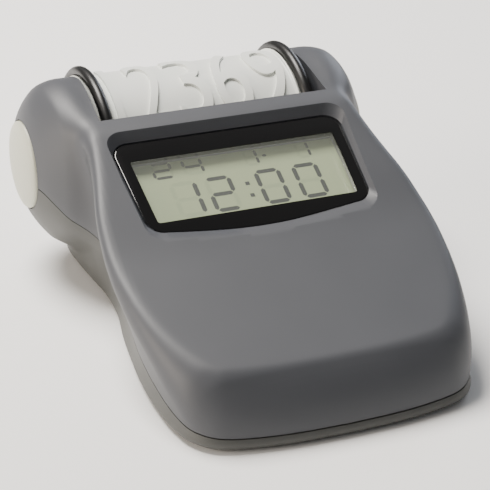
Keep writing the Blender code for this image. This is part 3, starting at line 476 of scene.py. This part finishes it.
def grid_block(counts):
    """Points and quads of a block from -1 to 1, gridded on every side."""
    points, quads, known = [], [], {}

    def corner(spot):
        key = tuple(round(float(v), 6) for v in spot)
        if key not in known:
            known[key] = len(points)
            points.append(key)
        return known[key]

    for axis in range(3):
        u, v = [k for k in range(3) if k != axis]
        for side in (-1.0, 1.0):
            for i in range(counts[u]):
                for j in range(counts[v]):
                    quad = []
                    for di, dj in ((0, 0), (1, 0), (1, 1), (0, 1)):
                        spot = [0.0, 0.0, 0.0]
                        spot[axis] = side
                        spot[u] = -1.0 + 2.0 * (i + di) / counts[u]
                        spot[v] = -1.0 + 2.0 * (j + dj) / counts[v]
                        quad.append(corner(spot))
                    quads.append(quad)
    return np.array(points), quads


def skin(name, counts, offset):
    """The casing's form as a closed mesh, offset inwards."""
    grid, quads = grid_block(counts)
    share = (grid[:, 1] + 1.0) / 2.0
    spots = np.linspace(0.0, 1.0, len(SPINE))
    start = np.stack([np.interp(share, spots, SPINE[:, k]) for k in range(3)], axis=1)
    depth = NOSE + (BACK - NOSE) * share
    rim = np.maximum(along(TOP, depth) - RIM_DROP, start[:, 2] + RIM_LEAST)
    foot = CASE_BOTTOM + BOTTOM_FILLET / 2.0
    climb = np.where(grid[:, 2] > 0.0, rim - start[:, 2], start[:, 2] - foot)
    aim = np.stack([grid[:, 0] * RIM_HALF, depth, start[:, 2] + grid[:, 2] * climb], axis=1)
    ray = aim - start
    ray /= np.linalg.norm(ray, axis=1)[:, None]
    low = np.zeros(len(ray))
    high = np.full(len(ray), FARTHEST)
    for _ in range(HALVINGS):
        half = (low + high) / 2.0
        out = casing(start + ray * half[:, None]) + offset > 0.0
        high = np.where(out, half, high)
        low = np.where(out, low, half)
    found = (start + ray * low[:, None]) * MM
    bm = bmesh.new()
    verts = [bm.verts.new(spot) for spot in found]
    for quad in quads:
        bm.faces.new([verts[k] for k in quad])
    return new_object(name, bm, AXIS_FRAME)


def prism(name, outline, low, high, matrix, top=None):
    """A closed bar between two outlines of the same number of points."""
    bm = bmesh.new()
    lower = [bm.verts.new((x * MM, y * MM, low * MM)) for x, y in outline]
    upper = [bm.verts.new((x * MM, y * MM, high * MM)) for x, y in (top or outline)]
    count = len(lower)
    for k in range(count):
        after = (k + 1) % count
        bm.faces.new((lower[k], lower[after], upper[after], upper[k]))
    bm.faces.new(lower[::-1])
    bm.faces.new(upper)
    return new_object(name, bm, matrix)


def block(name, low, high, matrix=AXIS_FRAME):
    """A box from corner to corner in a frame."""
    corners = ((low[0], low[1]), (high[0], low[1]), (high[0], high[1]), (low[0], high[1]))
    return prism(name, corners, low[2], high[2], matrix)


def oval(long, short, count):
    return [(long * math.cos(math.tau * k / count), short * math.sin(math.tau * k / count))
            for k in range(count)]


def bar(name, start, end, radius, sides=32):
    """A round bar between two points about the axis."""
    a, b = Vector(start), Vector(end)
    turn = (b - a).to_track_quat("Z", "Y").to_matrix().to_4x4()
    matrix = AXIS_FRAME @ Matrix.Translation(a * MM) @ turn
    return prism(name, oval(radius, radius, sides), 0.0, (b - a).length, matrix)


def cut(target, tool, operation="DIFFERENCE"):
    """An exact boolean of one object by another."""
    modifier = target.modifiers.new(tool.name, "BOOLEAN")
    modifier.operation = operation
    modifier.object = tool
    modifier.solver = "EXACT"


def settle(thing):
    """Turn an object and its modifiers into one plain mesh."""
    bpy.context.view_layer.update()
    shown = thing.evaluated_get(bpy.context.evaluated_depsgraph_get())
    mesh = bpy.data.meshes.new_from_object(shown)
    thing.modifiers.clear()
    thing.data = mesh


def soften(thing, width, segments=2, angle=40.0):
    """Round an object's sharp edges."""
    modifier = thing.modifiers.new("edges", "BEVEL")
    modifier.width = width * MM
    modifier.segments = segments
    modifier.limit_method = "ANGLE"
    modifier.angle_limit = math.radians(angle)


def show(thing, look, body, nodes=(), sharp=32.0):
    """Finish a piece: one look, smooth shading, and the CAD nodes it stands for."""
    settle(thing)
    mesh = thing.data
    mesh.materials.clear()
    mesh.materials.append(look)
    mesh.shade_smooth()
    mesh.set_sharp_from_angle(angle=math.radians(sharp))
    for group in list(thing.users_collection):
        group.objects.unlink(thing)
    SCENE.objects.link(thing)
    thing.hide_render = False
    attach(thing, body)
    if nodes:
        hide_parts(*nodes)
    return thing


# ---- casing -------------------------------------------------------------
def lens_outline(grow=0.0, corner_steps=12, bow_steps=24):
    """The lens seen square on: round corners, a bowed front and tapering sides."""
    half = LENS_HALF + grow
    rear = LENS_REAR + grow
    front = LENS_FRONT + grow
    r = LENS_CORNER + grow
    points = []
    for cx, cy, start in ((half - r, rear - r, 0), (-half + r, rear - r, 90),
                          (-half + r, -front + r, 180), (half - r, -front + r, 270)):
        for step in range(corner_steps + 1):
            angle = math.radians(start + 90.0 * step / corner_steps)
            points.append((cx + r * math.cos(angle), cy + r * math.sin(angle)))
        if start == 180:
            for step in range(1, bow_steps):
                t = step / bow_steps
                x = (-half + r) * (1.0 - t) + (half - r) * t
                points.append((x, -front - LENS_BOW * math.sin(math.pi * t)))
    return [(x * (1.0 + LENS_TAPER * y / LENS_HALF), y) for x, y in points]


def flare(outline, height):
    """The display recess opens out upwards, most of all towards the toe."""
    grown = []
    for x, y in outline:
        side = RECESS_SIDE * height * max(-1.0, min(1.0, x / (LENS_HALF - LENS_CORNER)))
        if y > 0.0:
            rise = RECESS_REAR * height * min(1.0, y / (LENS_REAR - LENS_CORNER))
        else:
            rise = RECESS_TOE * height * max(-1.0, y / (LENS_FRONT - LENS_CORNER))
        grown.append((x + side, y + rise))
    return grown


def wall_frame(side):
    """A frame on the side wall at a button: x out of the wall."""
    y, z = BUTTON_CENTRE
    reach = np.linspace(20.0, 60.0, 4001)
    ray = np.stack([reach, np.full(reach.shape, y), np.full(reach.shape, z)], axis=1)
    x = reach[np.argmax(casing(ray) > 0.0)]
    here = np.array([[x, y, z]])
    slope = [float((casing(here + d) - casing(here - d))[0]) for d in np.eye(3) * 0.5]
    out = Vector(slope).normalized()
    long = Vector((0.0, math.cos(BUTTON_TILT), math.sin(BUTTON_TILT)))
    long = (long - out * long.dot(out)).normalized()
    rows = Matrix((out, long, out.cross(long))).transposed().to_4x4()
    if side < 0:
        mirror = Matrix.Diagonal((-1.0, 1.0, 1.0, 1.0))
        rows = mirror @ rows @ Matrix.Diagonal((1.0, 1.0, -1.0, 1.0))
    return Matrix.Translation(place(side * x, y, z)) @ rows


def mirrored(line):
    """A closed outline from one side of it."""
    return line + [(-x, y) for x, y in line[::-1]]


def casing_hollow():
    """The room inside the casing, less what its walls and posts take up."""
    hollow = skin("hollow", COARSE_SKIN, WALL)
    cut(hollow, bar("bay_block", (-34.3, 0.0, 0.0), (34.3, 0.0, 0.0), BAY_RADIUS + BAY_WALL, 48))
    cut(hollow, prism("lens_block", lens_outline(2.0, 3, 4), -3.6, 8.0, LENS_FRAME))
    rib, rib_half = CELL_RIB
    for side in (-1.0, 1.0):
        cut(hollow, bar("cap_block", (side * 44.4, 0.0, 0.0), (side * 52.0, 0.0, 0.0),
                        CAP_RADIUS + 2.0))
        cut(hollow, block("cell_rib", (side * rib - rib_half, -84.0, -34.0),
                          (side * rib + rib_half, -61.5, 6.0)))
        for x, y in SCREW_PLACES:
            top = 20.0 if y < DOOR_FRONT else -2.0
            cut(hollow, bar("screw_post", (side * x, y, BELOW), (side * x, y, top),
                            SCREW_POST, 20))
    settle(hollow)
    return hollow


def cut_roller_bay(whole):
    """The round bay the roller turns in, and its opening through the top and back."""
    plan = mirrored([(BAY_HALF_BACK, BEYOND), (BAY_HALF_BACK, 0.0), (BAY_HALF_FRONT, BAY_FRONT)])
    opening = prism("roller_opening", plan, -20.0, 50.0, AXIS_FRAME)
    plan = mirrored([(BAY_HALF_BACK - BAY_LIP, 61.0), (BAY_HALF_BACK - BAY_LIP, 0.0),
                     (BAY_HALF_FRONT - BAY_LIP, BAY_FRONT), (BAY_HALF_FRONT - BAY_LIP, -50.0)])
    bay = prism("roller_bay", plan, BELOW, 51.0, AXIS_FRAME)
    cut(bay, bar("roller_sweep", (-36.0, 0.0, 0.0), (36.0, 0.0, 0.0), BAY_RADIUS, 72),
        "INTERSECT")
    settle(bay)
    cut(whole, bay)
    cut(whole, opening)


def cut_underside(shell):
    """Openings under the lower case: the door, the screws' heads and the feet."""
    cut(shell, block("door_opening", (-DOOR_HALF - GAP, DOOR_FRONT - GAP, FLOOR - 8.0),
                     (DOOR_HALF + GAP, DOOR_BACK + GAP, CASE_BOTTOM + WALL + 0.1)))
    foot_radius, foot_depth = FOOT_POCKET
    for side in (-1.0, 1.0):
        for x, y in SCREW_PLACES:
            top = float(along(SEAM, y)) - HEAD_UNDER_SEAM
            if y < DOOR_FRONT:
                top = CASE_BOTTOM + HEAD_DEPTH
            cut(shell, bar("head_hole", (side * x, y, BELOW), (side * x, y, top), SCREW_HEAD, 32))
        for x, y in FOOT_PLACES:
            cut(shell, bar("foot_pocket", (side * x, y, BELOW),
                           (side * x, y, CASE_BOTTOM + foot_depth), foot_radius, 40))


def build_casing():
    hollow = casing_hollow()
    whole = skin("whole", FINE_SKIN, SKIN_INSET)
    for side in (-1.0, 1.0):
        cut(whole, bar("cap_seat", (side * CAP_SEAT, 0.0, 0.0), (side * BEYOND, 0.0, 0.0),
                       CAP_RADIUS + GAP, 64))
        cut(whole, prism("button_hole", oval(BUTTON_LONG + GAP, BUTTON_SHORT + GAP, 48),
                         -BUTTON_HOLE, BUTTON_HOLE, wall_frame(side) @ SIDEWAYS))
    outline = lens_outline(GAP)
    cut(whole, prism("display_recess", outline, -0.05, RECESS_HEIGHT, LENS_FRAME,
                     flare(outline, RECESS_HEIGHT + 0.05)))
    cut(whole, prism("lens_pocket", outline, -LENS_THICK - 0.2, 0.5, LENS_FRAME))
    cut(whole, block("display_window", (-WINDOW_HALF - 0.8, -WINDOW_FRONT - 0.8, -6.0),
                     (WINDOW_HALF + 0.8, WINDOW_REAR + 0.4, 0.0), LENS_FRAME))
    cut_roller_bay(whole)
    settle(whole)

    for name, above, look in (("upper_shell", True, CASE_TOP), ("lower_shell", False, CASE_LOW)):
        half = whole.copy()
        half.data = whole.data.copy()
        half.name = name
        SCRATCH.objects.link(half)
        shift = GAP / 2 if above else -GAP / 2
        far = -BEYOND if above else BEYOND
        line = [(y, z + shift) for y, z in SEAM[::2]] + [(BEYOND, far), (-140.0, far)]
        cut(half, hollow)
        cut(half, prism(name + "_parting", line, -70.0, 70.0, AXIS_FRAME @ SIDEWAYS))
        if not above:
            cut_underside(half)
        node = "upper_case" if above else "lower_case"
        show(half, look, "case", (node,))


# ---- display ------------------------------------------------------------
def segment_outline(kind, width, height, stroke):
    """One bar of a seven-segment digit, with pointed ends, from its lower left corner."""
    gap = stroke * 0.18
    half = height / 2.0
    level = {"a": height, "g": half, "d": 0.0}
    if kind in level:
        y = level[kind]
        ends = (gap, width - gap)
        inner = stroke / 2.0
        return [(ends[0], y), (ends[0] + inner, y + inner), (ends[1] - inner, y + inner),
                (ends[1], y), (ends[1] - inner, y - inner), (ends[0] + inner, y - inner)]
    x = width if kind in "bc" else 0.0
    low = half if kind in "bf" else 0.0
    ends = (low + gap, low + half - gap)
    inner = stroke / 2.0
    return [(x, ends[0]), (x + inner, ends[0] + inner), (x + inner, ends[1] - inner),
            (x, ends[1]), (x - inner, ends[1] - inner), (x - inner, ends[0] + inner)]


def plates(name, outlines, low, high, look):
    """Thin printed shapes on the display, one closed plate each."""
    bm = bmesh.new()
    for outline in outlines:
        lower = [bm.verts.new((x * MM, y * MM, low * MM)) for x, y in outline]
        upper = [bm.verts.new((x * MM, y * MM, high * MM)) for x, y in outline]
        count = len(lower)
        for k in range(count):
            after = (k + 1) % count
            bm.faces.new((lower[k], lower[after], upper[after], upper[k]))
        bm.faces.new(lower[::-1])
        bm.faces.new(upper)
    return show(new_object(name, bm, LENS_FRAME), look, "case")


def build_display():
    border = prism("lens_border", lens_outline(), -LENS_THICK, 0.0, LENS_FRAME)
    soften(border, 0.35, 3)
    rear = WINDOW_HALF * (1.0 + LENS_TAPER * WINDOW_REAR / LENS_HALF)
    front = WINDOW_HALF * (1.0 - LENS_TAPER * WINDOW_FRONT / LENS_HALF)
    opening = [(rear, WINDOW_REAR), (-rear, WINDOW_REAR), (-front, -WINDOW_FRONT),
               (front, -WINDOW_FRONT)]
    window = prism("window", opening, -4.0, 2.0, LENS_FRAME)
    soften(window, 0.8, 4)
    cut(border, window)
    show(border, BORDER_BLACK, "case", ("window_lens",))
    pane = prism("lens_window", [(x * 0.999, y * 0.999) for x, y in opening], PANE_BACK,
                 PANE_FRONT, LENS_FRAME)
    soften(pane, 0.75, 4)
    show(pane, CLEAR, "case")
    panel = block("display_panel", (-LCD_HALF, LCD_FRONT, LCD_BACK),
                  (LCD_HALF, LCD_REAR, -LCD_DEPTH), LENS_FRAME)
    show(panel, LCD_GREEN, "case", ("display_glass",))

    ink, ghosts = [], []
    for figure, u, v, size in FIGURES:
        for kind in SEGMENTS["8"]:
            outline = [(x + u + LCD_SHIFT[0], y + v + LCD_SHIFT[1])
                       for x, y in segment_outline(kind, *size)]
            if kind in SEGMENTS[figure]:
                ink.append(outline)
            elif figure != "-":
                ghosts.append(outline)
    for v in COLON_HEIGHTS:
        x, y = COLON_X + LCD_SHIFT[0], v + LCD_SHIFT[1]
        half = COLON_HALF
        ink.append([(x - half, y - half), (x + half, y - half), (x + half, y + half),
                    (x - half, y + half)])
    plates("display_segments", ink, -LCD_DEPTH + 0.01, -LCD_DEPTH + 0.03, LCD_INK)
    plates("display_idle_segments", ghosts, -LCD_DEPTH + 0.005, -LCD_DEPTH + 0.015, LCD_GHOST)


# ---- roller -------------------------------------------------------------
def revolved(name, profile, steps):
    """A closed profile of (along, radius) turned about the roller's axis."""
    bm = bmesh.new()
    rings = []
    for step in range(steps):
        angle = math.tau * step / steps
        rings.append([bm.verts.new((a * MM, r * math.sin(angle) * MM, r * math.cos(angle) * MM))
                      for a, r in profile])
    for here, after in zip(rings, rings[1:] + rings[:1]):
        for k in range(len(profile)):
            j = (k + 1) % len(profile)
            bm.faces.new((here[k], here[j], after[j], after[k]))
    return new_object(name, bm, AXIS_FRAME)


def domed(name, profile, steps):
    """A profile that starts and ends on the axis, turned about it."""
    bm = bmesh.new()
    first = bm.verts.new((profile[0][0] * MM, 0.0, 0.0))
    last = bm.verts.new((profile[-1][0] * MM, 0.0, 0.0))
    rings = []
    for step in range(steps):
        angle = math.tau * step / steps
        rings.append([bm.verts.new((a * MM, r * math.sin(angle) * MM, r * math.cos(angle) * MM))
                      for a, r in profile[1:-1]])
    for here, after in zip(rings, rings[1:] + rings[:1]):
        bm.faces.new((first, here[0], after[0]))
        bm.faces.new((last, after[-1], here[-1]))
        for k in range(len(here) - 1):
            bm.faces.new((here[k], here[k + 1], after[k + 1], after[k]))
    return new_object(name, bm, AXIS_FRAME)


def ring_maker():
    """Geometry nodes: a round wire bent into a ring of a given size."""
    tree = bpy.data.node_groups.new("ring_maker", "GeometryNodeTree")
    for name in ("Ring Radius", "Wire Radius"):
        tree.interface.new_socket(name, in_out="INPUT", socket_type="NodeSocketFloat")
    tree.interface.new_socket("Finish", in_out="INPUT", socket_type="NodeSocketMaterial")
    tree.interface.new_socket("Ring", in_out="OUTPUT", socket_type="NodeSocketGeometry")
    given = add(tree, "NodeGroupInput")
    path = add(tree, "GeometryNodeCurvePrimitiveCircle", {"Resolution": 144},
               {"Radius": given.outputs["Ring Radius"]})
    section = add(tree, "GeometryNodeCurvePrimitiveCircle", {"Resolution": 32},
                  {"Radius": given.outputs["Wire Radius"]})
    tube = add(tree, "GeometryNodeCurveToMesh",
               links={"Curve": path.outputs["Curve"], "Profile Curve": section.outputs["Curve"]})
    real = add(tree, "GeometryNodeRealizeInstances", links={"Geometry": tube.outputs[0]})
    painted = add(tree, "GeometryNodeSetMaterial",
                  links={"Geometry": real.outputs[0], "Material": given.outputs["Finish"]})
    add(tree, "NodeGroupOutput", links={"Ring": painted.outputs[0]})
    return tree


def build_rings():
    tree = ring_maker()
    sockets = {item.name: item.identifier for item in tree.interface.items_tree}
    for side, word in ((-1.0, "left"), (1.0, "right")):
        carrier = new_object("rubber_ring_" + word, bmesh.new(), Matrix.Identity(4))
        modifier = carrier.modifiers.new("ring", "NODES")
        modifier.node_group = tree
        modifier[sockets["Ring Radius"]] = RING_RADIUS * MM
        modifier[sockets["Wire Radius"]] = RING_WIRE * MM
        modifier[sockets["Finish"]] = RING_RUBBER
        settle(carrier)
        spot = Matrix.Translation(place(side * RING_X, 0.0, 0.0))
        carrier.data.transform(spot @ Matrix.Rotation(math.radians(90.0), 4, "Y"))
        show(carrier, RING_RUBBER, "roller", ("ring_" + word,), 60.0)


def flat_figure(figure):
    """A figure as a flat mesh, one unit high or so."""
    curve = bpy.data.curves.new("figure", "FONT")
    curve.body = figure
    curve.align_x = "CENTER"
    curve.size = 1.0
    carrier = bpy.data.objects.new("figure", curve)
    SCRATCH.objects.link(carrier)
    bpy.context.view_layer.update()
    shown = carrier.evaluated_get(bpy.context.evaluated_depsgraph_get())
    flat = bpy.data.meshes.new_from_object(shown)
    bpy.data.objects.remove(carrier)
    return flat


def wrapped_figure(flat, centre, wide, turn):
    """A flat figure sized, sliced, raised and bent round the drum."""
    low = min(v.co.y for v in flat.vertices)
    high = max(v.co.y for v in flat.vertices)
    left = min(v.co.x for v in flat.vertices)
    right = max(v.co.x for v in flat.vertices)
    size = NUMERAL_HEIGHT / (high - low)
    piece = bmesh.new()
    piece.from_mesh(flat)
    bmesh.ops.remove_doubles(piece, verts=piece.verts, dist=1e-5)
    for vert in piece.verts:
        vert.co = ((vert.co.x - (left + right) / 2.0) / (right - left) * wide + centre,
                   (vert.co.y - (low + high) / 2.0) * size, 0.0)
    for step in range(1, NUMERAL_STEPS):
        level = -NUMERAL_HEIGHT / 2.0 + NUMERAL_HEIGHT * step / NUMERAL_STEPS
        bmesh.ops.bisect_plane(piece, geom=piece.verts[:] + piece.edges[:] + piece.faces[:],
                               plane_co=(0.0, level, 0.0), plane_no=(0.0, 1.0, 0.0), dist=1e-4)
    bmesh.ops.recalc_face_normals(piece, faces=piece.faces)
    walls = bmesh.ops.extrude_face_region(piece, geom=piece.faces[:])
    raised = [part for part in walls["geom"] if isinstance(part, bmesh.types.BMVert)]
    for vert in raised:
        vert.co.z = NUMERAL_RISE
    for vert in piece.verts:
        radius = FIELD_RADIUS + (vert.co.z if vert.co.z > 0.0 else -NUMERAL_ROOT)
        angle = vert.co.y / FIELD_RADIUS - math.radians(turn)
        around = (vert.co.x, radius * math.sin(angle), radius * math.cos(angle))
        vert.co = Vector(around) * MM
    made = bpy.data.meshes.new("wrapped")
    piece.to_mesh(made)
    piece.free()
    return made


def build_numerals():
    """Raised figures, three times round the drum."""
    bm = bmesh.new()
    for figure, centre, wide in NUMERALS:
        flat = flat_figure(figure)
        for turn in NUMERAL_TURNS:
            made = wrapped_figure(flat, centre, wide, turn)
            bm.from_mesh(made)
            bpy.data.meshes.remove(made)
    figures = new_object("roller_numerals", bm, AXIS_FRAME)
    soften(figures, 0.07, 1, 50.0)
    show(figures, DRUM_WHITE, "roller", sharp=40.0)


def build_roller():
    groove = RING_WIRE + RING_ROOM
    floor = RING_RADIUS - RING_WIRE - GAP
    half = [(FIELD_HALF, FIELD_RADIUS), (FIELD_HALF + 0.25, FIELD_RADIUS + 0.15),
            (FIELD_HALF + 0.4, DRUM_RADIUS - 0.15), (FIELD_HALF + 0.65, DRUM_RADIUS),
            (RING_X - groove - RIM_EASE, DRUM_RADIUS), (RING_X - groove, DRUM_RADIUS - RIM_EASE),
            (RING_X - groove, floor), (RING_X + groove - RIM_EASE, floor),
            (RING_X + groove - RIM_EASE, DRUM_RADIUS - 0.5), (DRUM_HALF, DRUM_RADIUS - 0.9),
            (DRUM_HALF, DRUM_BORE), (WEB_HALF, DRUM_BORE), (WEB_HALF, HUB_RADIUS),
            (HUB_HALF, HUB_RADIUS), (HUB_HALF, HUB_BORE)]
    left = [(-x, r) for x, r in half[::-1]]
    drum = revolved("roller_body", left + half, 160)
    show(drum, DRUM_WHITE, "roller", ("roller_drum",), 28.0)
    build_numerals()
    build_rings()
    for side, word in ((-1.0, "left"), (1.0, "right")):
        rim = CAP_SEAT + CAP_RIM
        profile = [(CAP_TOP, 0.0)]
        for k in range(1, 20):
            angle = math.radians(90.0 * k / 20)
            rise = (CAP_TOP - rim) * math.cos(angle) ** CAP_DOME
            profile.append((rim + rise, CAP_RADIUS * math.sin(angle)))
        profile += [(CAP_SEAT + 0.9, CAP_RADIUS), (CAP_SEAT + 0.3, CAP_RADIUS),
                    (CAP_SEAT + 0.3, 0.0)]
        cap = domed("cap_" + word, [(side * x, r) for x, r in profile], 96)
        show(cap, CAP_WHITE, "case", ("end_cap_" + word,), 50.0)


def build_buttons():
    for side, word in ((-1.0, "left"), (1.0, "right")):
        matrix = wall_frame(side) @ SIDEWAYS
        button = prism("button_" + word, oval(BUTTON_LONG, BUTTON_SHORT, 64), BUTTON_REAR,
                       BUTTON_PROUD, matrix)
        soften(button, 0.5, 4)
        show(button, BUTTON_GREY, word + "_button",
             ("side_button_" + word,))


def dress_nodes():
    """Finishes for the solids that are shown as they are."""
    looks = {
        "axle": STEEL, "bush_left": WHITE_MOULDING, "bush_right": WHITE_MOULDING,
        "encoder_wheel": BLACK_MOULDING_AND_SHADE, "encoder_board": BOARD, "encoder_sensor": RESIN,
        # the display frame is black as painted shade: its strip at the top of the window stands
        # for the border's shadow on the panel
        "click_spring": STEEL, "display_frame": BLACK_MOULDING_AND_SHADE, "contact_strip_front": ZEBRA,
        "contact_strip_rear": ZEBRA, "main_board": BOARD, "driver_chip": RESIN,
        "quartz_crystal": STEEL, "board_screw_1": SCREW_STEEL, "board_screw_2": SCREW_STEEL,
        "switch_left": BLACK_MOULDING_AND_SHADE, "switch_right": BLACK_MOULDING_AND_SHADE,
        "switch_board_left": BOARD, "switch_board_right": BOARD, "cell_1": SLEEVE,
        "cell_2": SLEEVE, "cell_spring_1": STEEL, "cell_spring_2": STEEL,
        "bridge_contact": STEEL, "plus_contact": STEEL, "minus_contact": STEEL,
        "sounder": BLACK_MOULDING_AND_SHADE, "battery_lead_red": LEAD_RED, "sounder_lead_red": LEAD_RED,
        "battery_lead_black": LEAD_BLACK, "sounder_lead_black": LEAD_BLACK,
        "battery_door": CASE_LOW,
    }
    for number in range(1, 5):
        looks["case_screw_%d" % number] = SCREW_STEEL
        looks["foot_%d" % number] = FOOT_RUBBER
    for name, look in looks.items():
        node = frame["nodes"][name]
        node.data.materials.clear()
        node.data.materials.append(look)


# ---- camera and light ---------------------------------------------------
# name, place in metres, width in metres, watts and colour
LIGHTS = (("key", (-0.20, 0.35, 0.80), 0.45, 17.0, "#fffaf4"),
          ("left", (-0.80, -0.02, 0.25), 0.50, 6.0, "#fff2e2"),
          ("right", (0.70, 0.60, 0.35), 0.40, 2.5, "#eef3ff"))
AIM = (0.0, -0.01, 0.03)       # where every lamp points
SKY_STRENGTH = 0.20
CAMERA_PLACE = (-184.32, -480.18, 261.19)   # y before the axis's place is added
CAMERA_RIGHT = (0.92519, -0.37895, 0.02066)
CAMERA_UP = (0.155, 0.42698, 0.89088)
CAMERA_BACK = (-0.34642, -0.82103, 0.45377)


def build_stage():
    """A pale floor, three soft lamps, a dim sky and the camera."""
    bm = bmesh.new()
    bmesh.ops.create_grid(bm, x_segments=1, y_segments=1, size=1.6)
    floor = new_object("floor", bm, Matrix.Identity(4), SCENE)
    floor.data.materials.append(surface("pale_floor", "#fbfbfa", 0.9, 3.0, 0.0, 0.0, 60.0, 0.0))

    target = Vector(AIM)
    for name, spot, size, power, colour in LIGHTS:
        light = bpy.data.lights.new(name, "AREA")
        light.shape = "DISK"
        light.size = size
        light.energy = power
        light.color = linear(colour)[:3]
        lamp = bpy.data.objects.new(name, light)
        lamp.location = spot
        lamp.rotation_euler = (Vector(spot) - target).to_track_quat("Z", "Y").to_euler()
        SCENE.objects.link(lamp)

    world = bpy.data.worlds.new("studio")
    world.use_nodes = True
    backdrop = world.node_tree.nodes["Background"]
    backdrop.inputs["Color"].default_value = linear("#ffffff")
    backdrop.inputs["Strength"].default_value = SKY_STRENGTH
    bpy.context.scene.world = world

    camera = bpy.data.cameras.new("camera")
    camera.lens = 146.9
    camera.sensor_width = 36.0
    view = bpy.data.objects.new("camera", camera)
    turned = Matrix((CAMERA_RIGHT, CAMERA_UP, CAMERA_BACK)).transposed().to_4x4()
    x, y, z = CAMERA_PLACE
    view.matrix_world = Matrix.Translation(Vector((x, y + AXIS_Y, z)) * MM) @ turned
    SCENE.objects.link(view)
    bpy.context.scene.camera = view


build_casing()
build_display()
build_roller()
build_buttons()
dress_nodes()
build_stage()
for cutter in list(SCRATCH.objects):
    bpy.data.objects.remove(cutter, do_unlink=True)
bpy.data.collections.remove(SCRATCH)
